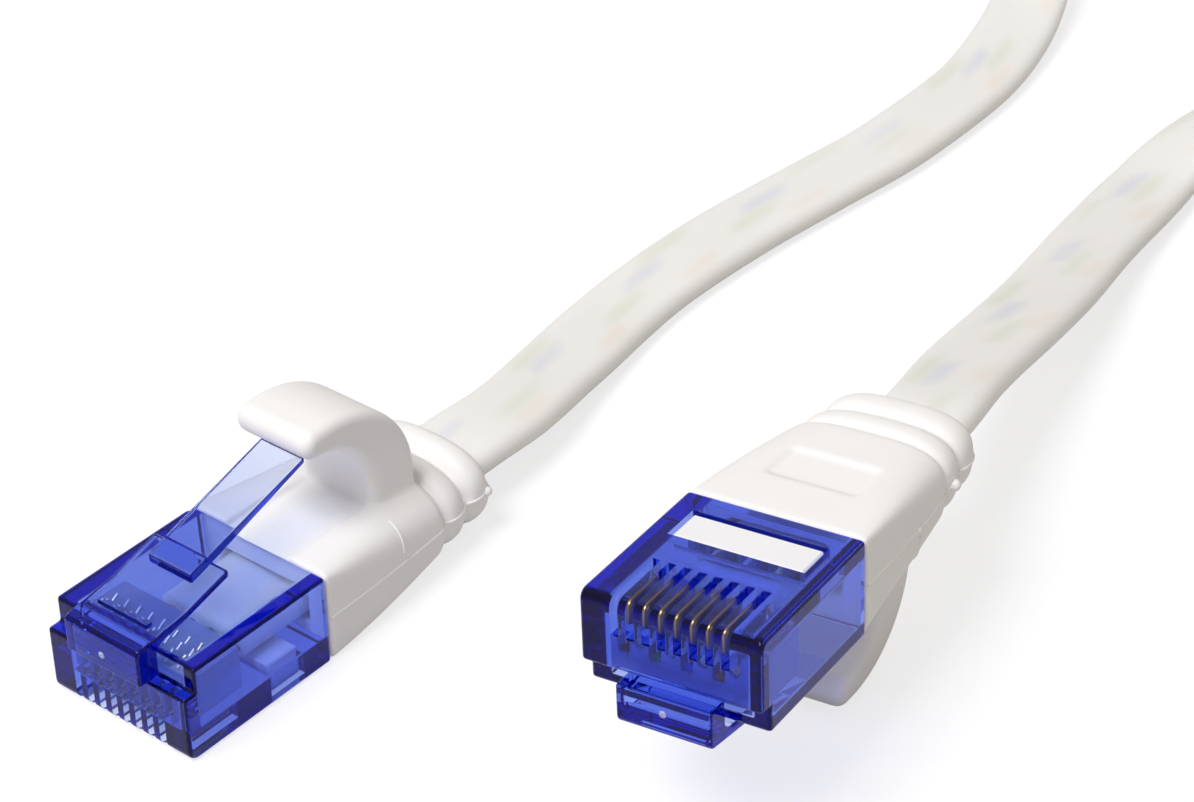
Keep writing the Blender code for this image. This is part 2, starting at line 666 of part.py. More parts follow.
def flat_cable(name, points, tilts, section):
    """One drawn length of the flat cable, turned about its run by the given tilts."""
    curve = bpy.data.curves.new(name, "CURVE")
    curve.dimensions = "3D"
    curve.twist_mode = "Z_UP"
    curve.bevel_mode = "OBJECT"
    curve.bevel_object = section
    curve.use_fill_caps = True
    spline = curve.splines.new("POLY")
    spline.points.add(len(points) - 1)
    for target, point, tilt in zip(spline.points, points, tilts):
        target.co = (*point, 1.0)
        target.tilt = tilt
    return place(name, baked(scratch(curve)), None, WHITE_JACKET)


def free_run(side, frame, route, coil_end, section, roll, twist_start):
    """Cable from the jacket's end in the plug to the coil, flat at first and on edge at the end."""
    inside = (JACKET_START, BODY_LENGTH, boot_end(), boot_end() + STRAIGHT_EXIT)
    points = [frame.matrix_world @ Vector((0.0, y, CABLE_HEIGHT)) for y in inside]
    points += [Vector(point) for point in route]
    lead = (coil_end[0] - coil_end[1]).normalized()
    points += [coil_end[0] + lead * CABLE_WIDTH, coil_end[0] + lead * END_GAP]
    points = smooth_run(points)
    last = len(points) - 1
    tilts = []
    for i, point in enumerate(points):
        turned = pi / 2 * smoothstep((i / last - twist_start) / (TWIST_END - twist_start))
        rest = CABLE_WIDTH / 2 * sin(turned) + CABLE_THICKNESS / 2 * cos(turned)
        point.z = max(point.z, rest + FLOOR_GAP)
        tilts.append(roll * (1 - smoothstep(i / last / twist_start)) + turned)
    flat_cable(f"cable_run_{side}", points, tilts, section)
    return path_length(points)


def least_coil_gap(points):
    """Least gap between two turns of the coil, whose cable stands on edge."""
    least = 1.0
    apart = POINTS_PER_TURN // 2
    for i, a in enumerate(points):
        for b in points[i + apart:]:
            across = hypot(a.x - b.x, a.y - b.y) - CABLE_THICKNESS
            least = min(least, max(across, abs(a.z - b.z) - CABLE_WIDTH))
    return least


def build_tie(points):
    """Strap round the bundle of turns, on the far side of the coil."""
    centre = Vector((*COIL_CENTRE, 0.0))
    spokes = [point - centre for point in points]
    near = [p for p in spokes if abs(atan2(p.y, p.x) - TIE_ANGLE) < 2 * pi / POINTS_PER_TURN]
    radii = [hypot(p.x, p.y) for p in near]
    room = TIE_CLEARANCE + CABLE_THICKNESS / 2
    low = min(p.z for p in near) - CABLE_WIDTH / 2 - TIE_CLEARANCE
    high = max(p.z for p in near) + CABLE_WIDTH / 2 + TIE_CLEARANCE
    near_side, far_side = min(radii) - room, max(radii) + room
    inner = [(near_side, low), (far_side, low), (far_side, high), (near_side, high)]
    wall = TIE_THICKNESS
    outer = [(u + (wall if i in (1, 2) else -wall), v + (wall if i > 1 else -wall))
             for i, (u, v) in enumerate(inner)]
    mesh = outline_mesh([outer, inner], TIE_WIDTH, FRONT_VIEW)
    mesh.transform(Matrix.Translation(centre) @ Matrix.Rotation(TIE_ANGLE, 4, "Z"))
    place("cable_tie", mesh, None, TIE_STRAP)


for old in list(bpy.data.objects):
    bpy.data.objects.remove(old)
cable_collection = bpy.data.collections.new("ethernet_patch_cable")
cutter_collection = bpy.data.collections.new("guides")
bpy.context.scene.collection.children.link(cable_collection)
bpy.context.scene.collection.children.link(cutter_collection)

plug_a = plug_frame("plug_a", PLUG_A_PLACE, PLUG_A_TURN)
plug_b = plug_frame("plug_b", PLUG_B_PLACE, PLUG_B_TURN)
shared = plug_meshes()
build_plug("a", plug_a, shared)
build_plug("b", plug_b, shared)
bpy.context.view_layer.update()

cable_section = flat_profile()
coil = coil_points()
flat_cable("cable_coil", coil, [pi / 2] * len(coil), cable_section)
length = path_length(coil)
length += free_run("a", plug_a, ROUTE_A, coil[:2], cable_section, 0.0, TWIST_START_A)
length += free_run("b", plug_b, ROUTE_B, coil[::-1][:2], cable_section, PLUG_B_TURN[1] - pi, TWIST_START_B)
build_tie(coil)
print(f"cable length {length:.4f} m, least gap in the coil {least_coil_gap(coil) * 1000:.2f} mm")
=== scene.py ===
"""Looks of a flat ethernet patch cable: clear blue plugs in white boots on a flat white jacket.

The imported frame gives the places. The pieces of a plug are drawn in millimetres in the plug's own
frame (x across, y from the nose to the cable, z from the contact face to the latch side) and then
carried to where the plug's hinges are. The cable's route and the stage are in metres, in the frame
of the whole part.
"""

import json
from math import atan2, copysign, cos, hypot, pi, radians, sin, tan

import bmesh
import bpy
import numpy as np
from mathutils import Matrix, Vector, noise


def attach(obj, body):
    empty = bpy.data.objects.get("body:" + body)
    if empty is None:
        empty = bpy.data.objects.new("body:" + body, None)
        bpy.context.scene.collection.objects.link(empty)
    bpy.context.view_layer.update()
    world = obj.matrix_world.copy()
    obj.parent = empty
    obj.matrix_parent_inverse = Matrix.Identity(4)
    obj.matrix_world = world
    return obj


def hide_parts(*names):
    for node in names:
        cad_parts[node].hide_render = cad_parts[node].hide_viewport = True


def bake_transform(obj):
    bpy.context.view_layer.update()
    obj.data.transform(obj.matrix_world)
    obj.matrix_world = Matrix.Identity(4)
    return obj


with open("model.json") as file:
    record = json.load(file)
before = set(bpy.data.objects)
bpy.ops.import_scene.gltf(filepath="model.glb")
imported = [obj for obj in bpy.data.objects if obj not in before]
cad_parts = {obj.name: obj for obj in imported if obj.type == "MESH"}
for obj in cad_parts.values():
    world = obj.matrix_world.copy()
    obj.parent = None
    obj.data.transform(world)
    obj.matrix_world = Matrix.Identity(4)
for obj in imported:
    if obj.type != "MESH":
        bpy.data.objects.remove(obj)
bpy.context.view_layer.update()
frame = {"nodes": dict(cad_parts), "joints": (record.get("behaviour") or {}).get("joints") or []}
MM = 0.001

# Camera, fitted to the photograph: places in metres, lens and sensor in millimetres
CAMERA_PLACE = (0.121166, -0.10595, 0.128614)
CAMERA_HEADING = radians(39.89)
CAMERA_TILT = radians(55.5465)
CAMERA_ROLL = radians(-1.394)
CAMERA_NEAR = 0.01
CAMERA_LENS = 100.41
SENSOR_WIDTH = 36.0

# Plug housing, in millimetres
PLUG_WIDTH = 11.68
PLUG_HEIGHT = 6.45
NOSE_HEIGHT = 4.7
NOSE_STEP = 0.96
NOSE_ROUND = 0.7
BODY_LENGTH = 12.2
HOUSING_ROUND = 0.28
RIM_ROUND = 0.06
FRONT_WALL = 1.5
FLOOR_WALL = 1.5
CEILING_WALL = 0.45
CHAMBER_WIDTH = 9.3
CHAMBER_ROUND = 0.15
WINDOW_WIDTH = 8.9
WINDOW_START = 7.45
WINDOW_LENGTH = 2.9
OVERCUT = 0.5

# Contacts, in millimetres
CONTACT_COUNT = 8
CONTACT_PITCH = 1.02
CONTACT_THICKNESS = 0.18
CONTACT_START = 0.95
CONTACT_LENGTH = 3.25
CONTACT_RECESS = 0.6
CONTACT_ROUND = 0.5
CONTACT_EDGE = 0.06
BLADE_TOP = 2.1
TINE_STARTS = (2.4, 1.7, 1.0)
TINE_WIDTH = 0.5
TINE_TIP = 5.42
TINE_SLANT = 0.28
SLOT_WIDTH = 0.52
SLOT_END = 4.8
SLOT_HEIGHT = 2.4
# A face of a blade is a flank where its normal points further sideways than this
FLANK_NORMAL = 0.9

# Latch, in millimetres
LATCH_HINGE = (0.25, 5.6)
LATCH_WIDTH = 6.2
LATCH_LOW = 4.9
LATCH_BACK = 0.76
LATCH_OVERHANG = 0.9
LATCH_FACE_ROUND = 0.5
LATCH_ARCH = (2.1, 0.75)
LATCH_BEND = (3.4, 8.0)
LATCH_SHOULDER = (7.0, 8.95)
LATCH_ROOT_TOP = 7.5
LATCH_THICKNESS = 0.55
LATCH_EDGE = 0.1
LATCH_ROUND = 0.2
RIDGE_START = 1.0
RIDGE_LENGTH = 0.5
RIDGE_WIDTH = 4.2
RIDGE_SEAT = 0.15
RIDGE_RISE = 0.35
LEVER_WIDTH = 3.6
LEVER_START = 5.1
LEVER_END = 15.2
LEVER_STEP = 0.65
LEVER_RISE = radians(15.5)
LEVER_ROOT_THICKNESS = 0.8
LEVER_TIP_THICKNESS = 0.36
GATE_HEIGHT = 5.95
GATE_RADIUS = 0.24
GATE_RISE = 0.1

# Boot and hood, in millimetres
BOOT_START = 12.22
BOOT_MAIN_END = 23.8
BOOT_END_ROUND = 0.7
RING_LENGTHS = (2.4, 2.8)
BOOT_END = BOOT_MAIN_END + sum(RING_LENGTHS)
REAR_TAPER = 1.1
REAR_DROP = 0.5
TROUGH_WIDTH = 5.2
TROUGH_DEPTH = 0.4
GRIP_START = 16.3
GRIP_LENGTH = 3.4
GRIP_WIDTH = 6.1
GRIP_DEPTH = 0.3
HOOD_HINGE = (21.6, 7.1)
HOOD_WIDTH = 6.3
HOOD_ROOT = 4.1
HOOD_SINK = 2.0
HOOD_TOP = 14.2
HOOD_CROWN = 16.0
HOOD_TIP = 14.2
HOOD_TIP_THICKNESS = 2.0
HOOD_ROUND = 0.7
# The boot's neck depths and its corners from square to round, contact side first, then latch side
RING_DEPTHS = (0.5, 0.95)
ROUND_RATES = (1.3, 0.8)
REAR_ROUND_RATIOS = (0.33, 0.4)
FRONT_ROUND_RATIO = 0.04
ROUND_SHARE = 0.75
RING_FATNESS = 2.6
# The boot's skin, its mould lines, and its lumps of flash as side, place along the boot and radius
MOULD_VOXEL = 0.13
SKIN_PASSES = 6
FOOT_PASSES = 12
FOOT_REACH = 2.2
GRIP_PASSES = 8
SOFT_FADE = 1.2
PARTING_HEIGHT = 3.22
PARTING_RADIUS = 0.09
PARTING_INSETS = (0.2, 0.3)
PARTING_STEPS = 80
MOULD_LINE_PLACE = 19.4
MOULD_LINE_RADIUS = 0.072
MOULD_LINE_ARC = (radians(2), radians(48))
MOULD_LINE_STEPS = 12
FLASH_NUBS = {"a": ((1, 28.2, 0.35),), "b": ((-1, 24.8, 0.4), (-1, 19.2, 0.2))}

# Cable, in millimetres
CABLE_WIDTH = 6.3
CABLE_THICKNESS = 1.8
CABLE_HEIGHT = 3.2
CABLE_FIT = 0.2
JACKET_START = 7.0
STRAIGHT_EXIT = 3.0
FLOOR_GAP = 0.1
CABLE_STEP = 1.0
EASE_LENGTH = 45.0
EASE_HOLD = 2.0
EASE_FADES = (4.0, 10.0)
EASE_PASSES = 90
EDGE_WAVE = 0.09
EDGE_WAVE_LENGTH = 9.0
EDGE_WAVE_SEED = 7.0
SECTION_POINTS = 28

# Coil and tie, in millimetres
COIL_CENTRE = (4.0, 148.5)
COIL_RADIUS = 33.7
COIL_PITCH = 2.8
COIL_SWEEP = radians(1320)
COIL_ENTRY = radians(210)
COIL_CLIMB = radians(90)
COIL_LAYER = 6.9
POINTS_PER_TURN = 24
TIE_WIDTH = 7.0
TIE_THICKNESS = 0.5
TIE_CLEARANCE = 0.6
TIE_CORNER = 1.2
TIE_EDGE = 0.12
TIE_LAP_SHORT = 4.5
TIE_ANGLE = radians(90)

# Routes of the free runs between boot and coil, in metres, as the part has them
ROUTE_A = (
    (-0.0004, 0.0305, 0.0027),
    (-0.0022, 0.0380, 0.0016),
    (-0.0037, 0.0460, 0.0010),
    (-0.0041, 0.0530, 0.0010),
    (-0.0038, 0.0605, 0.0010),
    (-0.0029, 0.0685, 0.0010),
    (-0.0021, 0.0770, 0.0010),
    (-0.0022, 0.0870, 0.0010),
    (-0.0036, 0.0965, 0.0010),
    (-0.0072, 0.1065, 0.0014),
    (-0.0125, 0.1135, 0.0024),
)
ROUTE_B = (
    (0.0256, 0.0452, 0.0085),
    (0.0220, 0.0601, 0.0048),
    (0.0186, 0.0737, 0.0022),
    (0.0168, 0.0853, 0.0012),
    (0.0166, 0.0955, 0.0018),
    (0.0196, 0.1070, 0.0048),
    (0.0240, 0.1155, 0.0073),
)
# Shares of a run at which it begins to turn on edge, and stands on edge
TWIST_START_A = 0.72
TWIST_START_B = 0.55
TWIST_END = 0.95

# Colours of the insulated conductors, in their order across a plug
WIRE_COLOURS = (
    "#f0d2b4", "#e07b22", "#cfe3c4", "#2f5fbe", "#c4d3ec", "#3a9a4a", "#d9c7b6", "#7a4a2a",
)

# Stage, in metres and watts, with the floor's drop in millimetres
FLOOR_REACH = 4.0
FLOOR_DROP = 0.05
FLOOR_GLOW = 0.72
KEY_TARGET = (0.015, 0.02, 0.0)
KEY_WAY = (-0.08, -0.48, 0.87)
KEY_DISTANCE = 1.3
KEY_SIZE = 0.65
KEY_POWER = 13.6
SURROUND_LEVEL = 0.36
GLOSS_SHARE = 0.3
SKY_THROUGH = 0.2
LIGHT_BOUNCES = 32
GLOSS_BOUNCES = 24

# Fineness of the meshes
MERGE_DISTANCE = 1e-6
CORNER_STEPS = 6
TIP_STEPS = 16
ARCH_STEPS = 24
FINE_STEPS = 4
# Share of the way to its neighbours' middle that a point goes in one smoothing pass
RELAX = 0.5

joints = {joint["name"]: joint for joint in frame["joints"]}


def hex_colour(code):
    """Turn an sRGB hex colour into linear values with full alpha."""
    channels = [int(code[i:i + 2], 16) / 255 for i in (1, 3, 5)]
    return [c / 12.92 if c <= 0.04045 else ((c + 0.055) / 1.055) ** 2.4 for c in channels] + [1.0]


def set_inputs(node, inputs):
    """Give a node's inputs plain values, or links from other nodes' sockets."""
    for name, value in inputs.items():
        if isinstance(value, bpy.types.NodeSocket):
            node.id_data.links.new(value, node.inputs[name])
        else:
            node.inputs[name].default_value = value


def add_node(tree, kind, inputs=None, **settings):
    """Add a node with its settings and give it its inputs."""
    node = tree.nodes.new(kind)
    for key, value in settings.items():
        setattr(node, key, value)
    set_inputs(node, inputs or {})
    return node


def new_material(name):
    """New material, its tree, its Principled shader and the place on a piece for its patterns."""
    material = bpy.data.materials.new(name)
    material.use_nodes = True
    tree = material.node_tree
    place = add_node(tree, "ShaderNodeTexCoord").outputs["Object"]
    return material, tree, tree.nodes["Principled BSDF"], place


def linked(name, data):
    """New object of the given data, in the scene."""
    made = bpy.data.objects.new(name, data)
    bpy.context.scene.collection.objects.link(made)
    return made


def place_camera():
    """Camera at the photograph's viewing angle."""
    camera = linked("camera", bpy.data.cameras.new("camera"))
    camera.data.sensor_width = SENSOR_WIDTH
    camera.data.lens = CAMERA_LENS
    camera.data.clip_start = CAMERA_NEAR
    turn = Matrix.Rotation(CAMERA_HEADING, 4, "Z") @ Matrix.Rotation(CAMERA_TILT, 4, "X")
    turn = turn @ Matrix.Rotation(CAMERA_ROLL, 4, "Z")
    camera.matrix_world = Matrix.Translation(CAMERA_PLACE) @ turn
    bpy.context.scene.camera = camera


def plug_pose(side):
    """Matrix from the plug's millimetres to the part, found from the plug's two hinges."""
    hood, latch = joints[f"hood_{side}_press"], joints[f"latch_{side}_flex"]
    hood_place = Vector(hood["pos_m"])
    axes = []
    for across, along in (
        (Vector(hood["axis"]), hood_place - Vector(latch["pos_m"])),
        (Vector((1, 0, 0)), Vector((0, *HOOD_HINGE)) - Vector((0, *LATCH_HINGE))),
    ):
        along.normalize()
        axes.append(Matrix((across, along, across.cross(along))).transposed())
    turn = (axes[0] @ axes[1].transposed()).to_4x4()
    shift = hood_place - turn @ (Vector((0, *HOOD_HINGE)) * MM)
    return Matrix.Translation(shift) @ turn @ Matrix.Scale(MM, 4)


# Mesh helpers


def mesh_of(work):
    """Mesh of a bmesh with its doubles merged and its faces turned outwards."""
    bmesh.ops.remove_doubles(work, verts=work.verts, dist=MERGE_DISTANCE)
    bmesh.ops.recalc_face_normals(work, faces=work.faces)
    mesh = bpy.data.meshes.new("shape")
    work.to_mesh(mesh)
    work.free()
    return mesh


def baked(helper):
    """Mesh of a helper object with its modifiers applied. The helper goes."""
    bpy.context.view_layer.update()
    evaluated = helper.evaluated_get(bpy.context.evaluated_depsgraph_get())
    mesh = bpy.data.meshes.new_from_object(evaluated)
    bpy.data.objects.remove(helper)
    return mesh


def modified(mesh, *steps):
    """Bake a row of modifiers, each a kind and its settings, into a new mesh."""
    helper = linked("helper", mesh)
    for kind, settings in steps:
        modifier = helper.modifiers.new(kind.lower(), kind)
        for key, value in settings.items():
            setattr(modifier, key, value)
    return baked(helper)


def combined(base, tools, operation):
    """Boolean of a mesh with further meshes."""
    helpers = [linked("tool", tool) for tool in tools]
    steps = [("BOOLEAN", {"operation": operation, "solver": "EXACT", "object": helper})
             for helper in helpers]
    result = modified(base, *steps)
    for helper in helpers:
        bpy.data.objects.remove(helper)
    return result


def bevel(width, segments, angle=radians(40)):
    """Bevel step for the edges of a mesh that are sharper than an angle."""
    return "BEVEL", {"width": width, "segments": segments,
                     "limit_method": "ANGLE", "angle_limit": angle}


def box(low, high):
    """Box between two corners."""
    low, high = Vector(low), Vector(high)
    work = bmesh.new()
    scale = Matrix.Diagonal(high - low).to_4x4()
    bmesh.ops.create_cube(work, size=1.0, matrix=Matrix.Translation((low + high) / 2) @ scale)
    return mesh_of(work)


def ball(centre, radii, subdivisions):
    """Round or flattened ball with even faces."""
    work = bmesh.new()
    form = Matrix.Translation(centre) @ Matrix.Diagonal(radii).to_4x4()
    bmesh.ops.create_icosphere(work, subdivisions=subdivisions, radius=1.0, matrix=form)
    return mesh_of(work)


def slab(outline, width):
    """Solid with the given (y, z) side view, centred on x = 0."""
    work = bmesh.new()
    face = work.faces.new([work.verts.new((-width / 2, y, z)) for y, z in outline])
    grown = bmesh.ops.extrude_face_region(work, geom=[face])["geom"]
    moved = [item for item in grown if isinstance(item, bmesh.types.BMVert)]
    bmesh.ops.translate(work, verts=moved, vec=(width, 0, 0))
    return mesh_of(work)


def arc(centre, radii, start, end, count):
    """Points on an elliptic arc, both ends included."""
    angles = [start + (end - start) * i / count for i in range(count + 1)]
    return [(centre[0] + radii[0] * cos(a), centre[1] + radii[1] * sin(a)) for a in angles]


def loft(sections, cyclic=False):
    """Closed solid through a row of sections with the same number of points."""
    work = bmesh.new()
    rings = [[work.verts.new(point) for point in section] for section in sections]
    pairs = list(zip(rings, rings[1:]))
    if cyclic:
        pairs.append((rings[-1], rings[0]))
    for ring, following in pairs:
        for i in range(len(ring)):
            work.faces.new((ring[i - 1], ring[i], following[i], following[i - 1]))
    if not cyclic:
        work.faces.new(rings[0])
        work.faces.new(rings[-1])
    return mesh_of(work)


def joined(*meshes):
    """One mesh of several closed shells."""
    work = bmesh.new()
    for mesh in meshes:
        work.from_mesh(mesh)
    return mesh_of(work)


def smoothed(mesh, passes, weight_of=None):
    """Relax a mesh's vertices towards their neighbours, all over or where weight_of says."""
    count = len(mesh.vertices)
    points = np.empty(count * 3)
    mesh.vertices.foreach_get("co", points)
    points = points.reshape(-1, 3)
    edges = np.empty(len(mesh.edges) * 2, dtype=np.int64)
    mesh.edges.foreach_get("vertices", edges)
    start, end = edges.reshape(-1, 2).T
    degree = np.bincount(edges, minlength=count)[:, None]
    weights = 1.0 if weight_of is None else weight_of(points)[:, None]
    for _ in range(passes):
        total = np.zeros_like(points)
        for axis in range(3):
            total[:, axis] = np.bincount(start, points[end, axis], count)
            total[:, axis] += np.bincount(end, points[start, axis], count)
        points += RELAX * weights * (total / degree - points)
    mesh.vertices.foreach_set("co", points.ravel())
    mesh.update()
    return mesh


def bead(points, radius, sides=8):
    """Thin round line along a row of points, for a mould line."""
    points = [Vector(point) for point in points]
    angles = [2 * pi * k / sides for k in range(sides)]
    sections = []
    for i, point in enumerate(points):
        along = (points[min(i + 1, len(points) - 1)] - points[max(i - 1, 0)]).normalized()
        first = along.orthogonal() if i == 0 else (first - along * first.dot(along))
        first = first.normalized()
        second = along.cross(first)
        sections.append([point + radius * (first * cos(a) + second * sin(a)) for a in angles])
    return loft(sections)


def shaded(mesh, angle=radians(30)):
    """Smooth shading that keeps the sharp edges and the flat faces."""
    mesh.shade_smooth()
    mesh.set_sharp_from_angle(angle=angle)
    return modified(mesh, ("WEIGHTED_NORMAL", {"keep_sharp": True, "weight": 100}))


def piece(name, mesh, material, body, nodes, pose=None):
    """Finished piece at the origin, riding on its body and standing for its nodes."""
    if pose is not None:
        mesh.transform(pose)
    mesh.materials.clear()
    mesh.materials.append(material)
    made = linked(name, mesh)
    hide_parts(*nodes)
    if body is not None:
        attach(made, body)
    return made


# Materials

POLYCARBONATE_IOR = 1.585


def blue_polycarbonate():
    """Moulded clear blue polycarbonate: glossy, light in thin walls, near violet in thick ones."""
    material, tree, shader, place = new_material("blue_polycarbonate_moulded")
    # Flow marks of the melt, about 3 mm apart
    flow = add_node(tree, "ShaderNodeTexNoise",
                    {"Vector": place, "Scale": 1 / (3.0 * MM), "Detail": 1.0})
    polish = add_node(tree, "ShaderNodeMapRange",
                      {"Value": flow.outputs["Fac"], "To Min": 0.005, "To Max": 0.03})
    bump = add_node(tree, "ShaderNodeBump",
                    {"Height": flow.outputs["Fac"], "Strength": 0.05, "Distance": 0.1 * MM})
    # Reflections take a violet tint, so that thick corners stay deep and don't turn grey
    set_inputs(shader, {
        "Base Color": hex_colour("#ffffff"),
        "Specular Tint": hex_colour("#a89fe2"),
        "Transmission Weight": 1.0,
        "IOR": POLYCARBONATE_IOR,
        "Roughness": polish.outputs["Result"],
        "Normal": bump.outputs["Normal"],
    })
    dye = add_node(tree, "ShaderNodeVolumeAbsorption",
                   {"Color": hex_colour("#7ea6f4"), "Density": 1100.0})
    set_inputs(tree.nodes["Material Output"], {"Volume": dye.outputs["Volume"]})
    return material


def broken_gate():
    """Polycarbonate broken off at the mould's sprue: crazed, so the blue turns pale and rough."""
    material, tree, shader, place = new_material("blue_polycarbonate_broken_gate")
    # Crazing about 0.15 mm across
    craze = add_node(tree, "ShaderNodeTexNoise",
                     {"Vector": place, "Scale": 1 / (0.15 * MM), "Detail": 2.0})
    tint = add_node(tree, "ShaderNodeMix", {
        "Factor": craze.outputs["Fac"], "A": hex_colour("#d2d5f4"), "B": hex_colour("#6f75c6"),
    }, data_type="RGBA")
    bump = add_node(tree, "ShaderNodeBump",
                    {"Height": craze.outputs["Fac"], "Strength": 0.6, "Distance": 0.05 * MM})
    set_inputs(shader, {
        "Base Color": tint.outputs["Result"],
        "Roughness": 0.4,
        "IOR": POLYCARBONATE_IOR,
        "Normal": bump.outputs["Normal"],
    })
    return material


def clear_polycarbonate():
    """Undyed moulded polycarbonate of the load bar: milky, pale and softly polished."""
    material, tree, shader, place = new_material("milky_polycarbonate_load_bar")
    # Haze in patches of 0.5 mm
    haze = add_node(tree, "ShaderNodeTexNoise",
                    {"Vector": place, "Scale": 1 / (0.5 * MM), "Detail": 3.0})
    polish = add_node(tree, "ShaderNodeMapRange",
                      {"Value": haze.outputs["Fac"], "To Min": 0.08, "To Max": 0.3})
    set_inputs(shader, {
        "Base Color": hex_colour("#c3d0f4"),
        "Transmission Weight": 0.5,
        "IOR": POLYCARBONATE_IOR,
        "Roughness": polish.outputs["Result"],
    })
    return material


def plated_bronze():
    """Stamped bronze, nickelled, with gold where it touches: grey flanks and warm bright edges."""
    material, tree, shader, place = new_material("nickel_and_gold_plated_bronze")
    # Marks 0.05 mm wide and twelve times as long up the blade
    stretch = add_node(tree, "ShaderNodeMapping", {"Vector": place, "Scale": (1.0, 1.0, 0.08)})
    marks = add_node(tree, "ShaderNodeTexNoise", {
        "Vector": stretch.outputs["Vector"], "Scale": 1 / (0.05 * MM), "Detail": 2.0,
    })
    wear = add_node(tree, "ShaderNodeMapRange",
                    {"Value": marks.outputs["Fac"], "To Min": 0.25, "To Max": 0.42})
    gold = add_node(tree, "ShaderNodeMix", {
        "Factor": marks.outputs["Fac"], "A": hex_colour("#e6ae4c"), "B": hex_colour("#f6cf80"),
    }, data_type="RGBA")
    plated = add_node(tree, "ShaderNodeAttribute", attribute_name="gold_plated")
    tint = add_node(tree, "ShaderNodeMix", {
        "Factor": plated.outputs["Fac"], "A": hex_colour("#cfccc6"), "B": gold.outputs["Result"],
    }, data_type="RGBA")
    set_inputs(shader, {
        "Base Color": tint.outputs["Result"],
        "Metallic": 1.0,
        "Roughness": wear.outputs["Result"],
    })
    return material


def matt_plastic(name, light, dark, roughness, grain, depth):
    """Opaque moulded plastic: faint mottle and an even grain, its width and depth in mm."""
    material, tree, shader, place = new_material(name)
    # Mottle in patches of 2.5 mm
    mottle = add_node(tree, "ShaderNodeTexNoise",
                      {"Vector": place, "Scale": 1 / (2.5 * MM), "Detail": 3.0})
    tint = add_node(tree, "ShaderNodeMix", {
        "Factor": mottle.outputs["Fac"], "A": hex_colour(light), "B": hex_colour(dark),
    }, data_type="RGBA")
    skin = add_node(tree, "ShaderNodeTexNoise",
                    {"Vector": place, "Scale": 1 / (grain * MM), "Detail": 2.0})
    bump = add_node(tree, "ShaderNodeBump",
                    {"Height": skin.outputs["Fac"], "Strength": 0.35, "Distance": depth * MM})
    spread = 0.06
    polish = add_node(tree, "ShaderNodeMapRange", {
        "Value": skin.outputs["Fac"], "To Min": roughness - spread, "To Max": roughness + spread,
    })
    set_inputs(shader, {
        "Base Color": tint.outputs["Result"],
        "Roughness": polish.outputs["Result"],
        "Normal": bump.outputs["Normal"],
    })
    return material


# The four twisted pairs that show faintly through the jacket: lane across it, twist in millimetres,
# phase and colour
PAIR_LANES = (
    (-0.62, 17.0, 0.10, "#dde1d0"),
    (-0.22, 13.5, 0.55, "#d6dae8"),
    (0.18, 15.5, 0.30, "#dfe3d2"),
    (0.60, 12.0, 0.80, "#efe5da"),
)
# Slant in millimetres over half the width, wave height where a pair shows, and its fade across
PAIR_SLANT = 3.0
PAIR_CREST = 0.1
PAIR_BAND = (0.34, 0.02)


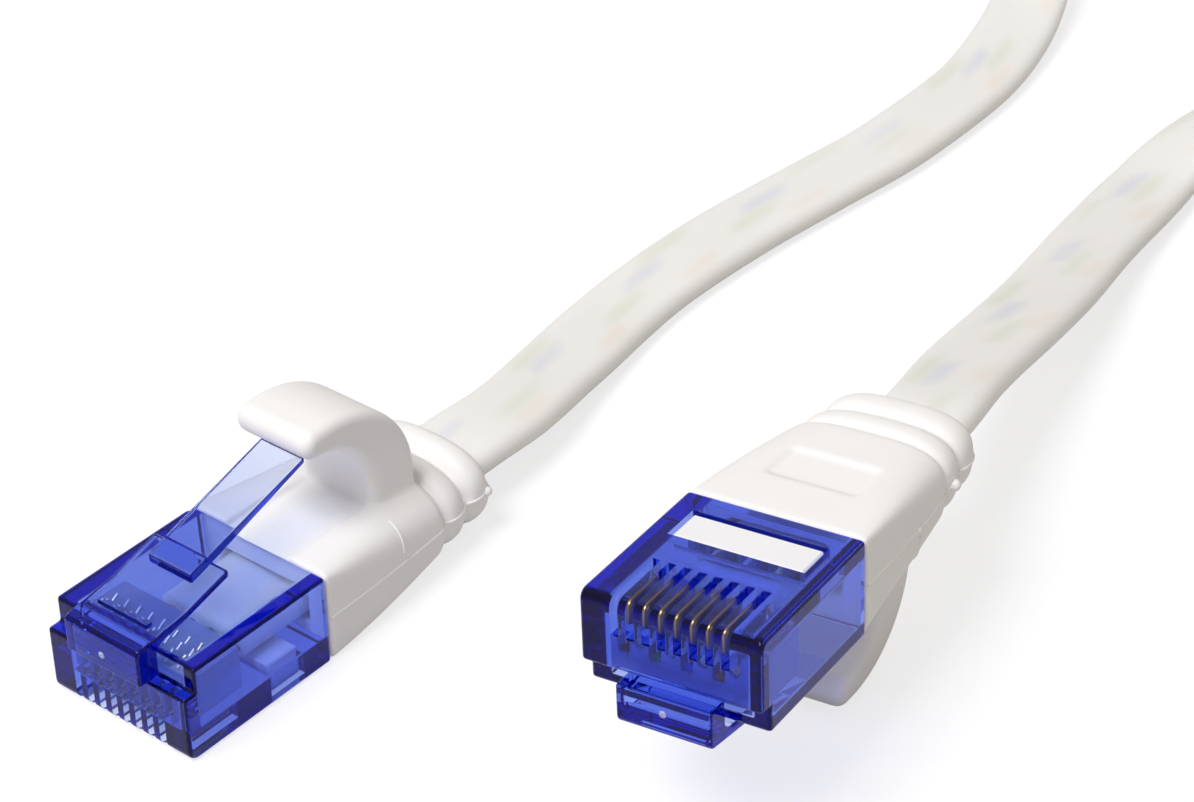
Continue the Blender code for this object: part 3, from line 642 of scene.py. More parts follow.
def soft_pvc_jacket():
    """Extruded soft white PVC: satin, so thin that the coloured pairs show as slanted blurs."""
    material, tree, shader, place = new_material("soft_white_pvc_jacket")
    lay = add_node(tree, "ShaderNodeUVMap", uv_map="lay").outputs["UV"]
    split = add_node(tree, "ShaderNodeSeparateXYZ", {"Vector": lay})
    along, across = split.outputs["X"], split.outputs["Y"]
    # The white drifts over about 9 mm
    drift = add_node(tree, "ShaderNodeTexNoise",
                     {"Vector": place, "Scale": 1 / (9.0 * MM), "Detail": 2.0}).outputs["Fac"]
    white = add_node(tree, "ShaderNodeMix", {
        "Factor": drift, "A": hex_colour("#f5f4f1"), "B": hex_colour("#eeede9"),
    }, data_type="RGBA")
    colour = white.outputs["Result"]
    for lane, twist, phase, code in PAIR_LANES:
        offset = add_node(tree, "ShaderNodeMath", {0: across, 1: lane},
                          operation="SUBTRACT").outputs[0]
        # The pair crosses its lane on a slant, once in each twist
        slant = add_node(tree, "ShaderNodeMath", {0: offset, 1: PAIR_SLANT, 2: phase * twist},
                         operation="MULTIPLY_ADD")
        reach = add_node(tree, "ShaderNodeMath", {0: along, 1: slant.outputs[0]}, operation="ADD")
        turn = add_node(tree, "ShaderNodeMath", {0: reach.outputs[0], 1: 2 * pi / twist},
                        operation="MULTIPLY")
        wave = add_node(tree, "ShaderNodeMath", {0: turn.outputs[0]}, operation="SINE")
        crest = add_node(tree, "ShaderNodeMapRange", {
            "Value": wave.outputs[0], "From Min": PAIR_CREST, "From Max": 1.0,
        }, interpolation_type="SMOOTHSTEP")
        width = add_node(tree, "ShaderNodeMath", {0: offset}, operation="ABSOLUTE")
        band = add_node(tree, "ShaderNodeMapRange", {
            "Value": width.outputs[0], "From Min": PAIR_BAND[0], "From Max": PAIR_BAND[1],
        }, interpolation_type="SMOOTHSTEP")
        blur = add_node(tree, "ShaderNodeMath",
                        {0: crest.outputs["Result"], 1: band.outputs["Result"]},
                        operation="MULTIPLY")
        faint = add_node(tree, "ShaderNodeMath", {0: blur.outputs[0], 1: drift},
                         operation="MULTIPLY")
        colour = add_node(tree, "ShaderNodeMix", {
            "Factor": faint.outputs[0], "A": colour, "B": hex_colour(code),
        }, data_type="RGBA").outputs["Result"]
    # Skin of the extrusion, in grains of 0.35 mm
    skin = add_node(tree, "ShaderNodeTexNoise",
                    {"Vector": place, "Scale": 1 / (0.35 * MM), "Detail": 2.0})
    bump = add_node(tree, "ShaderNodeBump",
                    {"Height": skin.outputs["Fac"], "Strength": 0.2, "Distance": 0.03 * MM})
    polish = add_node(tree, "ShaderNodeMapRange",
                      {"Value": skin.outputs["Fac"], "To Min": 0.36, "To Max": 0.5})
    # Light spreads about 1.2 mm inside, which softens the edges
    set_inputs(shader, {
        "Base Color": colour,
        "Roughness": polish.outputs["Result"],
        "Normal": bump.outputs["Normal"],
        "Subsurface Weight": 0.7,
        "Subsurface Scale": 1.2 * MM,
        "Subsurface Radius": (1.0, 0.96, 0.9),
    })
    return material


def hook_and_loop_strap():
    """Woven nylon strap with a looped face: dull grey with crossed threads 0.45 mm apart."""
    material, tree, shader, place = new_material("grey_hook_and_loop_strap")
    # Fuzz in tufts of 0.2 mm
    fuzz = add_node(tree, "ShaderNodeTexNoise",
                    {"Vector": place, "Scale": 1 / (0.2 * MM), "Detail": 4.0})
    threads = add_node(tree, "ShaderNodeTexVoronoi", {"Vector": place, "Scale": 1 / (0.45 * MM)})
    tint = add_node(tree, "ShaderNodeMix", {
        "Factor": fuzz.outputs["Fac"], "A": hex_colour("#7c7e82"), "B": hex_colour("#9fa1a4"),
    }, data_type="RGBA")
    bump = add_node(tree, "ShaderNodeBump", {
        "Height": threads.outputs["Distance"], "Strength": 0.8, "Distance": 0.12 * MM,
    })
    set_inputs(shader, {
        "Base Color": tint.outputs["Result"],
        "Roughness": 0.85,
        "Sheen Weight": 0.2,
        "Normal": bump.outputs["Normal"],
    })
    return material


# Cable


def smoothstep(value):
    """Soft step from 0 to 1."""
    value = min(1.0, max(0.0, value))
    return value * value * (3 - 2 * value)


def coil_points():
    """Middle of the coiled cable: a spiral in, a climb, and a spiral out, with straight ends."""
    half_sweep = COIL_SWEEP / 2
    low = CABLE_WIDTH / 2 + FLOOR_GAP
    lift = TIE_THICKNESS + TIE_CLEARANCE
    count = round(COIL_SWEEP / (2 * pi) * POINTS_PER_TURN)
    points = []
    for i in range(count + 1):
        turned = COIL_SWEEP * i / count
        angle = COIL_ENTRY - turned
        radius = COIL_RADIUS - COIL_PITCH * (half_sweep - abs(half_sweep - turned)) / (2 * pi)
        climb = smoothstep((turned - half_sweep) / COIL_CLIMB + 0.5)
        height = low + COIL_LAYER * climb + lift * (1 + sin(angle)) / 2
        points.append(Vector((COIL_CENTRE[0] + radius * cos(angle),
                              COIL_CENTRE[1] + radius * sin(angle), height)) * MM)
    lead_in = (points[0] - points[1]).normalized() * CABLE_WIDTH * MM
    lead_out = (points[-1] - points[-2]).normalized() * CABLE_WIDTH * MM
    return [points[0] + lead_in] + points + [points[-1] + lead_out]


def even_curve(points, step):
    """Points at even steps on a smooth curve through the points of a route."""
    padded = [2 * points[0] - points[1]] + list(points) + [2 * points[-1] - points[-2]]
    fine = []
    for before, start, end, after in zip(padded, padded[1:], padded[2:], padded[3:]):
        length = (end - start).length
        into = (end - before) / (length + (start - before).length) * length
        out = (after - start) / ((after - end).length + length) * length
        count = max(FINE_STEPS, round(FINE_STEPS * length / step))
        for i in range(count):
            t = i / count
            fine.append(start * (2 * t**3 - 3 * t**2 + 1) + into * (t**3 - 2 * t**2 + t)
                        + end * (3 * t**2 - 2 * t**3) + out * (t**3 - t**2))
    fine.append(points[-1])
    fine = np.array(fine)
    lengths = np.concatenate(([0.0], np.cumsum(np.linalg.norm(np.diff(fine, axis=0), axis=1))))
    wanted = np.linspace(0.0, lengths[-1], max(2, round(lengths[-1] / step)) + 1)
    return np.stack([np.interp(wanted, lengths, fine[:, axis]) for axis in range(3)], axis=1)


def free_run(pose, route, coil_end, roll, twist_start):
    """Points and tilts from the jacket's end in the plug to the coil, first flat, then on edge."""
    inside = (JACKET_START, BODY_LENGTH, BOOT_END, BOOT_END + STRAIGHT_EXIT)
    points = [pose @ Vector((0.0, y, CABLE_HEIGHT)) for y in inside]
    points += [Vector(point) for point in route]
    lead = (coil_end[0] - coil_end[1]).normalized() * CABLE_WIDTH * MM
    points = even_curve(points + [coil_end[0] + lead, coil_end[0]], CABLE_STEP * MM)
    last = len(points) - 1
    tilts = []
    for i in range(last + 1):
        turned = pi / 2 * smoothstep((i / last - twist_start) / (TWIST_END - twist_start))
        rest = (CABLE_WIDTH * sin(turned) + CABLE_THICKNESS * cos(turned)) / 2
        points[i, 2] = max(points[i, 2], (rest + FLOOR_GAP) * MM)
        tilts.append(roll * (1 - smoothstep(i / last / twist_start)) + turned)
    # The bend into the coil is eased, as a stiff flat cable bends
    left = [(last - i) * CABLE_STEP for i in range(1, last)]
    loose = np.array([[smoothstep((d - EASE_HOLD) / EASE_FADES[0])
                       * smoothstep((EASE_LENGTH - d) / EASE_FADES[1])] for d in left])
    for _ in range(EASE_PASSES):
        points[1:-1] += RELAX * loose * ((points[:-2] + points[2:]) / 2 - points[1:-1])
    return points, np.array(tilts)


def cable_lay():
    """Middle line of the cable from plug A through the coil to plug B, with its width's tilt."""
    coil = coil_points()
    run_a, tilt_a = free_run(poses["a"], ROUTE_A, coil[:2], 0.0, TWIST_START_A)
    across = poses["b"].to_3x3() @ Vector((1, 0, 0))
    roll = -atan2(across.z, hypot(across.x, across.y))
    run_b, tilt_b = free_run(poses["b"], ROUTE_B, coil[::-1][:2], roll, TWIST_START_B)
    middle = even_curve(coil, CABLE_STEP * MM)
    points = np.concatenate((run_a, middle[1:-1], run_b[::-1]))
    tilts = np.concatenate((tilt_a, np.full(len(middle) - 2, pi / 2), pi - tilt_b[::-1]))
    return points, tilts


def cable_section():
    """Section of the flat cable with round edges, as points across it and through it."""
    radius = CABLE_THICKNESS / 2
    reach = CABLE_WIDTH / 2 - radius
    turn = SECTION_POINTS // 4
    section = arc((reach, 0.0), (radius, radius), -pi / 2, pi / 2, turn)
    section += [(reach - 2 * reach * i / turn, radius) for i in range(1, turn)]
    section += arc((-reach, 0.0), (radius, radius), pi / 2, 3 * pi / 2, turn)
    section += [(-reach + 2 * reach * i / turn, -radius) for i in range(1, turn)]
    return section


def cable_mesh(points, tilts):
    """Flat jacket along the lay, with slightly wavy edges and a map of how far along and across."""
    section = cable_section()
    half = CABLE_WIDTH / 2
    along = np.gradient(points, axis=0)
    along /= np.linalg.norm(along, axis=1)[:, None]
    side = np.cross(along, (0.0, 0.0, 1.0))
    side /= np.linalg.norm(side, axis=1)[:, None]
    up = np.cross(side, along)
    width = np.cos(tilts)[:, None] * side + np.sin(tilts)[:, None] * up
    through = np.cross(along, width)
    sections = []
    for i, point in enumerate(points):
        run = i * CABLE_STEP / EDGE_WAVE_LENGTH
        waves = [EDGE_WAVE * noise.noise((run, EDGE_WAVE_SEED * edge, 0.0)) for edge in (-1, 1)]
        ring = []
        for u, v in section:
            u += waves[u > 0] * abs(u) / half
            ring.append(point + (width[i] * u + through[i] * v) * MM)
        sections.append(ring)
    mesh = loft(sections)
    mesh.shade_smooth()
    layer = mesh.uv_layers.new(name="lay")
    count = len(section)
    for loop in mesh.loops:
        ring, spot = divmod(loop.vertex_index, count)
        layer.data[loop.index].uv = (ring * CABLE_STEP, section[spot][0] / half)
    return mesh


def offset_line(line, distance):
    """Closed line moved outwards by a distance."""
    moved = []
    for i, (u, v) in enumerate(line):
        before, after = line[i - 1], line[(i + 1) % len(line)]
        du, dv = after[0] - before[0], after[1] - before[1]
        size = hypot(du, dv)
        moved.append((u + dv / size * distance, v - du / size * distance))
    return moved


def tie_mesh():
    """Strap round the bundle of turns, with soft corners and its free end lapped on the outside."""
    centre = Vector((*COIL_CENTRE, 0.0))
    spokes = [point / MM - centre for point in coil_points()]
    step = 2 * pi / POINTS_PER_TURN
    near = [p for p in spokes if abs(atan2(p.y, p.x) - TIE_ANGLE) < step]
    radii = [hypot(p.x, p.y) for p in near]
    room = TIE_CLEARANCE + CABLE_THICKNESS / 2
    inside, outside = min(radii) - room, max(radii) + room
    low = min(p.z for p in near) - CABLE_WIDTH / 2 - TIE_CLEARANCE
    high = max(p.z for p in near) + CABLE_WIDTH / 2 + TIE_CLEARANCE
    near_side, far_side = inside + TIE_CORNER, outside - TIE_CORNER
    bottom, top = low + TIE_CORNER, high - TIE_CORNER
    line = []
    for middle, start in (
        ((far_side, bottom), -pi / 2),
        ((far_side, top), 0.0),
        ((near_side, top), pi / 2),
        ((near_side, bottom), pi),
    ):
        line += arc(middle, (TIE_CORNER, TIE_CORNER), start, start + pi / 2, CORNER_STEPS)
    outer = offset_line(line, TIE_THICKNESS)
    half = TIE_WIDTH / 2
    ring = [[(u, -half, v), (ou, -half, ov), (ou, half, ov), (u, half, v)]
            for (u, v), (ou, ov) in zip(line, outer)]
    lap = box((outside + TIE_THICKNESS / 2, -half, bottom),
              (outside + 2 * TIE_THICKNESS, half, high - TIE_LAP_SHORT))
    shells = [modified(shell, bevel(TIE_EDGE, 2)) for shell in (loft(ring, cyclic=True), lap)]
    mesh = joined(*shells)
    turn = Matrix.Translation(centre) @ Matrix.Rotation(TIE_ANGLE, 4, "Z")
    mesh.transform(Matrix.Scale(MM, 4) @ turn)
    return shaded(mesh)


# Plug


def housing_mesh():
    """One-piece housing: stepped nose, contact slots, chamber and clamp window, up to the boot."""
    side = arc((NOSE_ROUND, NOSE_ROUND), (NOSE_ROUND, NOSE_ROUND), pi, 3 * pi / 2, CORNER_STEPS)
    side += [(BODY_LENGTH, 0), (BODY_LENGTH, PLUG_HEIGHT), (NOSE_STEP, PLUG_HEIGHT),
             (NOSE_STEP, NOSE_HEIGHT), (0, NOSE_HEIGHT)]
    body = modified(slab(side, PLUG_WIDTH), bevel(HOUSING_ROUND, 4))
    chamber = box((-CHAMBER_WIDTH / 2, FRONT_WALL, FLOOR_WALL),
                  (CHAMBER_WIDTH / 2, BODY_LENGTH + OVERCUT, PLUG_HEIGHT - CEILING_WALL))
    chamber = modified(chamber, bevel(CHAMBER_ROUND, 3))
    window = box((-WINDOW_WIDTH / 2, WINDOW_START, -OVERCUT),
                 (WINDOW_WIDTH / 2, WINDOW_START + WINDOW_LENGTH, FLOOR_WALL + OVERCUT))
    reach = SLOT_WIDTH / 2
    places = [(i - (CONTACT_COUNT - 1) / 2) * CONTACT_PITCH for i in range(CONTACT_COUNT)]
    slots = [box((x - reach, -OVERCUT, -OVERCUT), (x + reach, SLOT_END, SLOT_HEIGHT))
             for x in places]
    body = combined(body, [chamber, window] + slots, "DIFFERENCE")
    return shaded(modified(body, bevel(RIM_ROUND, 2, radians(60))))


def latch_mesh():
    """Latch: root block with a ridge, wide plate up to its shoulder, stepped and tapered lever."""
    hollow = (LATCH_ARCH[0] - LATCH_BACK, LATCH_ARCH[1])
    plate = [(-LATCH_OVERHANG, LATCH_LOW), (LATCH_BACK, LATCH_LOW)]
    plate += arc((LATCH_ARCH[0], PLUG_HEIGHT), hollow, pi, pi / 2, CORNER_STEPS)
    plate += [(LATCH_BEND[0], LATCH_BEND[1] - LATCH_THICKNESS),
              (LATCH_SHOULDER[0], LATCH_SHOULDER[1] - LATCH_THICKNESS),
              LATCH_SHOULDER, LATCH_BEND]
    root = (LATCH_FACE_ROUND - LATCH_OVERHANG, LATCH_ROOT_TOP - LATCH_FACE_ROUND)
    plate += arc(root, (LATCH_FACE_ROUND, LATCH_FACE_ROUND), pi / 2, pi, CORNER_STEPS)
    wide = modified(slab(plate, LATCH_WIDTH), bevel(LATCH_ROUND, 4))
    seat = LATCH_ROOT_TOP + RIDGE_SEAT
    ridge = box((-RIDGE_WIDTH / 2, RIDGE_START, seat - RIDGE_RISE),
                (RIDGE_WIDTH / 2, RIDGE_START + RIDGE_LENGTH, seat + RIDGE_RISE))
    slope = (LATCH_SHOULDER[1] - LATCH_BEND[1]) / (LATCH_SHOULDER[0] - LATCH_BEND[0])
    start_top = LATCH_BEND[1] + slope * (LEVER_START - LATCH_BEND[0]) + LEVER_STEP
    end_top = start_top + (LEVER_END - LEVER_START) * tan(LEVER_RISE)
    lever = [(LEVER_START, start_top - LEVER_ROOT_THICKNESS),
             (LEVER_END, end_top - LEVER_TIP_THICKNESS),
             (LEVER_END, end_top), (LEVER_START, start_top)]
    narrow = modified(slab(lever, LEVER_WIDTH), bevel(LATCH_EDGE, 3))
    return shaded(combined(wide, [modified(ridge, bevel(LATCH_EDGE, 2)), narrow], "UNION"))


def gate_mark_mesh():
    """Low round break on the front of the latch, where the sprue of its mould came off."""
    mesh = ball((0.0, -LATCH_OVERHANG, GATE_HEIGHT), (GATE_RADIUS, GATE_RISE, GATE_RADIUS), 3)
    mesh.shade_smooth()
    return mesh


def contact_blade_mesh():
    """One stamped contact: rounded blade with three slant-cut tines towards its conductor."""
    end = CONTACT_START + CONTACT_LENGTH
    corner = (CONTACT_START + CONTACT_ROUND, CONTACT_RECESS + CONTACT_ROUND)
    outline = arc(corner, (CONTACT_ROUND, CONTACT_ROUND), -pi, -pi / 2, CORNER_STEPS)
    outline += [(end, CONTACT_RECESS), (end, BLADE_TOP)]
    for start in TINE_STARTS:
        front = CONTACT_START + start
        outline += [(front + TINE_WIDTH, BLADE_TOP), (front + TINE_WIDTH, TINE_TIP),
                    (front, TINE_TIP - TINE_SLANT), (front, BLADE_TOP)]
    outline.append((CONTACT_START, BLADE_TOP))
    mesh = modified(slab(outline, CONTACT_THICKNESS), bevel(CONTACT_EDGE, 2))
    gold = mesh.attributes.new("gold_plated", "FLOAT", "FACE")
    for face, mark in zip(mesh.polygons, gold.data):
        mark.value = abs(face.normal.x) < FLANK_NORMAL and face.center.z < BLADE_TOP
    return mesh


def contact_row_tree():
    """Geometry nodes that set copies of one blade in an even row, and their ports' identifiers."""
    tree = bpy.data.node_groups.new("contact_row", "GeometryNodeTree")
    ports = {}
    for name, kind, way in (
        ("Blade", "NodeSocketGeometry", "INPUT"),
        ("Count", "NodeSocketInt", "INPUT"),
        ("Pitch", "NodeSocketFloat", "INPUT"),
        ("Material", "NodeSocketMaterial", "INPUT"),
        ("Row", "NodeSocketGeometry", "OUTPUT"),
    ):
        ports[name] = tree.interface.new_socket(name, in_out=way, socket_type=kind).identifier
    given = add_node(tree, "NodeGroupInput").outputs
    gaps = add_node(tree, "ShaderNodeMath", {0: given["Count"], 1: 1.0}, operation="SUBTRACT")
    start = add_node(tree, "ShaderNodeMath", {0: gaps.outputs[0], 1: -0.5}, operation="MULTIPLY")
    first = add_node(tree, "ShaderNodeMath", {0: start.outputs[0], 1: given["Pitch"]},
                     operation="MULTIPLY")
    place = add_node(tree, "ShaderNodeCombineXYZ", {"X": first.outputs[0]})
    step = add_node(tree, "ShaderNodeCombineXYZ", {"X": given["Pitch"]})
    line = add_node(tree, "GeometryNodeMeshLine", {
        "Count": given["Count"], "Start Location": place.outputs[0], "Offset": step.outputs[0],
    })
    copies = add_node(tree, "GeometryNodeInstanceOnPoints",
                      {"Points": line.outputs["Mesh"], "Instance": given["Blade"]})
    solid = add_node(tree, "GeometryNodeRealizeInstances",
                     {"Geometry": copies.outputs["Instances"]})
    plated = add_node(tree, "GeometryNodeSetMaterial",
                      {"Geometry": solid.outputs["Geometry"], "Material": given["Material"]})
    add_node(tree, "NodeGroupOutput", {"Row": plated.outputs["Geometry"]})
    return tree, ports


def contact_row_mesh(material):
    """The eight contacts of a plug as one mesh."""
    tree, ports = contact_row_tree()
    helper = linked("helper", contact_blade_mesh())
    modifier = helper.modifiers.new("contact_row", "NODES")
    modifier.node_group = tree
    values = {"Count": CONTACT_COUNT, "Pitch": CONTACT_PITCH, "Material": material}
    for name, value in values.items():
        modifier[ports[name]] = value
    return shaded(baked(helper))


def ring_dip(y):
    """How deep the boot's outside lies in the necks between its rings, from 0 to 1."""
    if y < BOOT_MAIN_END:
        reach = max(0.0, (y - BOOT_MAIN_END + BOOT_END_ROUND) / BOOT_END_ROUND)
        return 1 - (1 - reach ** 2) ** 0.5
    start = BOOT_MAIN_END
    for length in RING_LENGTHS:
        if y <= start + length:
            reach = (y - start - length / 2) / (length / 2)
            return abs(reach) ** RING_FATNESS
        start += length
    return 1.0


def boot_side(y, upper):
    """Half width, half height and corner power of the boot, on its latch side or contact side."""
    share = (y - BODY_LENGTH) / (BOOT_END - BODY_LENGTH)
    grown = max(0.0, min(1.0, share / ROUND_SHARE)) ** ROUND_RATES[upper]
    power = FRONT_ROUND_RATIO + (REAR_ROUND_RATIOS[upper] - FRONT_ROUND_RATIO) * grown
    dip = RING_DEPTHS[upper] * ring_dip(y)
    half = PLUG_WIDTH / 2 - REAR_TAPER * share ** 2 - dip
    rise = PLUG_HEIGHT / 2 - REAR_DROP * share ** 2 - dip
    return half, rise, power


def boot_section(y, count=96):
    """Section of the boot: square like the housing in front and round at the rear."""
    points = []
    for i in range(count):
        angle = 2 * pi * i / count
        half, rise, power = boot_side(y, 0 < angle < pi)
        x = copysign(half * abs(cos(angle)) ** (2 * power), cos(angle))
        z = copysign(rise * abs(sin(angle)) ** (2 * power), sin(angle))
        points.append((x, y, PLUG_HEIGHT / 2 + z))
    return points


def boot_shell():
    """Boot with its cable passage, lever trough and grip recess."""
    count = round((BOOT_END - BOOT_START) / MOULD_VOXEL)
    stations = [BOOT_START + (BOOT_END - BOOT_START) * i / count for i in range(count + 1)]
    body = loft([boot_section(y) for y in stations])
    half, rise = CABLE_WIDTH / 2 + CABLE_FIT, CABLE_THICKNESS / 2 + CABLE_FIT
    passage = box((-half, BOOT_START - OVERCUT, CABLE_HEIGHT - rise),
                  (half, BOOT_END + OVERCUT, CABLE_HEIGHT + rise))
    trough = box((-TROUGH_WIDTH / 2, BODY_LENGTH - OVERCUT, PLUG_HEIGHT - TROUGH_DEPTH),
                 (TROUGH_WIDTH / 2, HOOD_HINGE[0], PLUG_HEIGHT + OVERCUT))
    grip = box((-GRIP_WIDTH / 2, GRIP_START, -OVERCUT),
               (GRIP_WIDTH / 2, GRIP_START + GRIP_LENGTH, GRIP_DEPTH))
    return combined(body, [passage, trough, grip], "DIFFERENCE")


def hood_shell():
    """Hood that arches from the boot over the end of the lever."""
    radius = HOOD_ROOT / 2
    tip_radius = HOOD_TIP_THICKNESS / 2
    tip = (HOOD_TIP + tip_radius, HOOD_TOP - tip_radius)
    y, z = HOOD_HINGE
    outer = (y + radius - HOOD_CROWN, HOOD_TOP - z)
    inner = (y - radius - tip[0], HOOD_TOP - HOOD_TIP_THICKNESS - z)
    foot = PLUG_HEIGHT - HOOD_SINK
    outline = arc((HOOD_CROWN, z), outer, 0, pi / 2, ARCH_STEPS)
    outline += arc(tip, (tip_radius, tip_radius), pi / 2, 3 * pi / 2, TIP_STEPS)[1:]
    outline += arc((tip[0], z), inner, pi / 2, 0, ARCH_STEPS)[1:]
    outline += [(y - radius, foot), (y + radius, foot)]
    return modified(slab(outline, HOOD_WIDTH), bevel(HOOD_ROUND, 5, radians(60)))


def parting_line(sign):
    """Fine raised line where the two halves of the boot's mould met."""
    start, end = BOOT_START + PARTING_INSETS[0], BOOT_END - PARTING_INSETS[1]
    points = []
    for i in range(PARTING_STEPS + 1):
        y = start + (end - start) * i / PARTING_STEPS
        points.append((sign * boot_side(y, False)[0], y, PARTING_HEIGHT))
    return bead(points, PARTING_RADIUS)


def mould_line(sign):
    """Fine raised line up one side of the boot, at a joint of the mould."""
    half, rise, power = boot_side(MOULD_LINE_PLACE, True)
    start, end = MOULD_LINE_ARC
    points = []
    for i in range(MOULD_LINE_STEPS + 1):
        angle = start + (end - start) * i / MOULD_LINE_STEPS
        points.append((sign * half * cos(angle) ** (2 * power), MOULD_LINE_PLACE,
                       PLUG_HEIGHT / 2 + rise * sin(angle) ** (2 * power)))
    return bead(points, MOULD_LINE_RADIUS)


def flash_nub(sign, y, radius):
    """Small lump left where the mould's halves met."""
    return ball((sign * boot_side(y, False)[0], y, PARTING_HEIGHT), (radius, radius, radius), 2)


def soft_spot(middle, reach):
    """Weights of points that are 1 within reach of a middle and fade out beyond it."""
    def weights(points):
        beyond = (np.abs(points - np.array(middle)) - np.array(reach)) / SOFT_FADE
        return np.prod(1 - np.clip(beyond, 0, 1), axis=1)
    return weights


def boot_and_hood_mesh(side):
    """Boot and hood as the one soft moulding that they are, with filleted foot and mould lines."""
    skin = modified(joined(boot_shell(), hood_shell()),
                    ("REMESH", {"mode": "VOXEL", "voxel_size": MOULD_VOXEL, "adaptivity": 0.0}))
    skin = smoothed(skin, SKIN_PASSES)
    foot = soft_spot((0.0, HOOD_HINGE[0], PLUG_HEIGHT), (HOOD_WIDTH / 2, FOOT_REACH, 0.0))
    skin = smoothed(skin, FOOT_PASSES, foot)
    grip = soft_spot((0.0, GRIP_START + GRIP_LENGTH / 2, 0.0),
                     (GRIP_WIDTH / 2, GRIP_LENGTH / 2, GRIP_DEPTH))
    skin = smoothed(skin, GRIP_PASSES, grip)
    lines = [line(sign) for line in (parting_line, mould_line) for sign in (-1, 1)]
    nubs = [flash_nub(*nub) for nub in FLASH_NUBS[side]]
    mesh = joined(skin, *lines, *nubs)
    mesh.shade_smooth()
    return mesh


def dress_plug(side):
    """All pieces of one plug: the boot in the part's own frame, the others on their bodies."""
    pose = poses[side]
    root, latch, hood = "cable_assembly", f"latch_{side}", f"hood_{side}"
    piece(f"clear_housing_{side}", housing_mesh(), surfaces["blue"], root,
          [f"housing_{side}"], pose)
    piece(f"clear_latch_{side}", latch_mesh(), surfaces["blue"], latch,
          [latch], pose)
    piece(f"gate_mark_{side}", gate_mark_mesh(), surfaces["gate"], latch,
          [], pose)
    piece(f"contact_row_{side}", contact_row_mesh(surfaces["contact"]), surfaces["contact"],
          root, [f"contact_{side}_{i + 1}" for i in range(CONTACT_COUNT)], pose)
    boot = piece(f"moulded_boot_{side}", boot_and_hood_mesh(side), surfaces["boot"],
                 None, [f"boot_{side}", hood], pose)
    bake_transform(boot)


def dress_node(name, material):
    """Give a CAD node its finished material."""
    data = frame["nodes"][name].data
    data.materials.clear()
    data.materials.append(material)


# Stage


def seen_white(tree, through):
    """1 for what the camera sees, shares of it in gloss and through clear pieces, 0 for light."""
    path = add_node(tree, "ShaderNodeLightPath").outputs
    clear = add_node(tree, "ShaderNodeMath", {0: path["Is Transmission Ray"], 1: through},
                     operation="MULTIPLY")
    gloss = add_node(tree, "ShaderNodeMath", {0: path["Is Glossy Ray"], 1: GLOSS_SHARE},
                     operation="MULTIPLY")
    seen = add_node(tree, "ShaderNodeMath", {0: path["Is Camera Ray"], 1: clear.outputs[0]},
                    operation="MAXIMUM")
    return add_node(tree, "ShaderNodeMath", {0: seen.outputs[0], 1: gloss.outputs[0]},
                    operation="MAXIMUM").outputs[0]


def floor_material():
    """Pale floor: white with a faint shadow to the eye, plain and pale to the pieces on it."""
    material = bpy.data.materials.new("pale_floor")
    material.use_nodes = True
    tree = material.node_tree
    tree.nodes.remove(tree.nodes["Principled BSDF"])
    plain = add_node(tree, "ShaderNodeBsdfDiffuse", {"Color": hex_colour("#cfcdca")})
    shadow = add_node(tree, "ShaderNodeBsdfDiffuse", {"Color": hex_colour("#9a9a9c")})
    glow = add_node(tree, "ShaderNodeEmission", {"Strength": FLOOR_GLOW})
    white = add_node(tree, "ShaderNodeAddShader", {0: shadow.outputs[0], 1: glow.outputs[0]})
    both = add_node(tree, "ShaderNodeMixShader",
                    {0: seen_white(tree, 1.0), 1: plain.outputs[0], 2: white.outputs[0]})
    set_inputs(tree.nodes["Material Output"], {"Surface": both.outputs[0]})
    return material


def lay_floor():
    """Plain pale floor just under the part."""
    work = bmesh.new()
    bmesh.ops.create_grid(work, x_segments=1, y_segments=1, size=FLOOR_REACH)
    floor = linked("floor", mesh_of(work))
    floor.data.transform(Matrix.Translation((0.0, 0.0, -FLOOR_DROP * MM)))
    floor.data.materials.append(floor_material())


def hang_lamp():
    """Wide soft lamp overhead, towards the front."""
    lamp = bpy.data.lights.new("key", "AREA")
    lamp.shape = "DISK"
    lamp.size = KEY_SIZE
    lamp.energy = KEY_POWER
    lamp.color = hex_colour("#fbfcff")[:3]
    key = linked("key", lamp)
    target = Vector(KEY_TARGET)
    key.location = target + Vector(KEY_WAY).normalized() * KEY_DISTANCE
    key.rotation_euler = (target - key.location).to_track_quat("-Z", "Y").to_euler()


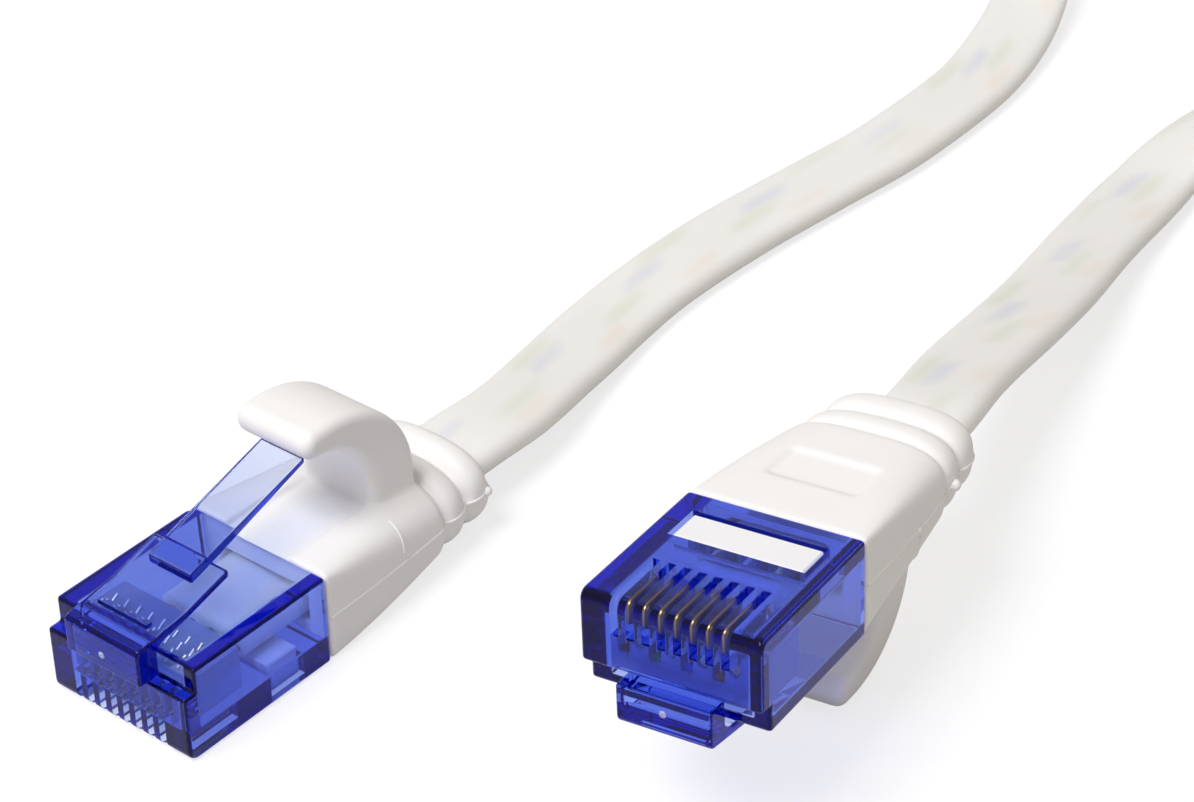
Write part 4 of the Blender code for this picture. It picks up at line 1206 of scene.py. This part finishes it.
def make_surround():
    """Even surround, white to the eye and a little warm in the shade."""
    world = bpy.data.worlds.new("soft_surround")
    world.use_nodes = True
    tree = world.node_tree
    seen = seen_white(tree, SKY_THROUGH)
    level = add_node(tree, "ShaderNodeMapRange",
                     {"Value": seen, "To Min": SURROUND_LEVEL, "To Max": 1.0})
    tint = add_node(tree, "ShaderNodeMix", {
        "Factor": seen, "A": hex_colour("#fff8f0"), "B": hex_colour("#ffffff"),
    }, data_type="RGBA")
    set_inputs(tree.nodes["Background"],
               {"Color": tint.outputs["Result"], "Strength": level.outputs["Result"]})
    bpy.context.scene.world = world


def build_stage():
    """Floor, lamp and surround, with light that reaches the pieces inside the clear plugs."""
    lay_floor()
    hang_lamp()
    make_surround()
    scene = bpy.context.scene
    scene.view_settings.view_transform = "Standard"
    # Light goes on through the clear blue after many inner reflections
    scene.cycles.blur_glossy = 0.0
    scene.cycles.max_bounces = LIGHT_BOUNCES
    scene.cycles.glossy_bounces = GLOSS_BOUNCES
    scene.cycles.transmission_bounces = LIGHT_BOUNCES


place_camera()
poses = {side: plug_pose(side) for side in "ab"}
surfaces = {
    "blue": blue_polycarbonate(),
    "gate": broken_gate(),
    "clear": clear_polycarbonate(),
    "contact": plated_bronze(),
    "boot": matt_plastic("white_elastomer_boot", "#fbfaf8", "#f6f4f2", 0.55, 0.22, 0.02),
    "clamp": matt_plastic("white_nylon_clamp", "#faf9fb", "#f2f1f4", 0.45, 0.3, 0.02),
    "jacket": soft_pvc_jacket(),
    "strap": hook_and_loop_strap(),
}

lay_points, lay_tilts = cable_lay()
cable = piece("flat_jacket", cable_mesh(lay_points, lay_tilts), surfaces["jacket"],
              "cable_assembly", ["cable_run_a", "cable_coil", "cable_run_b"])
tie = piece("coil_strap", tie_mesh(), surfaces["strap"], "cable_assembly",
            ["cable_tie"])

for number, code in enumerate(WIRE_COLOURS, 1):
    insulation = matt_plastic(f"wire_insulation_{number}", code, code, 0.4, 0.2, 0.01)
    for side in "ab":
        dress_node(f"wire_{side}_{number}", insulation)
for side in "ab":
    dress_plug(side)
    dress_node(f"clamp_bar_{side}", surfaces["clamp"])
    dress_node(f"load_bar_{side}", surfaces["clear"])

build_stage()
bpy.context.view_layer.update()
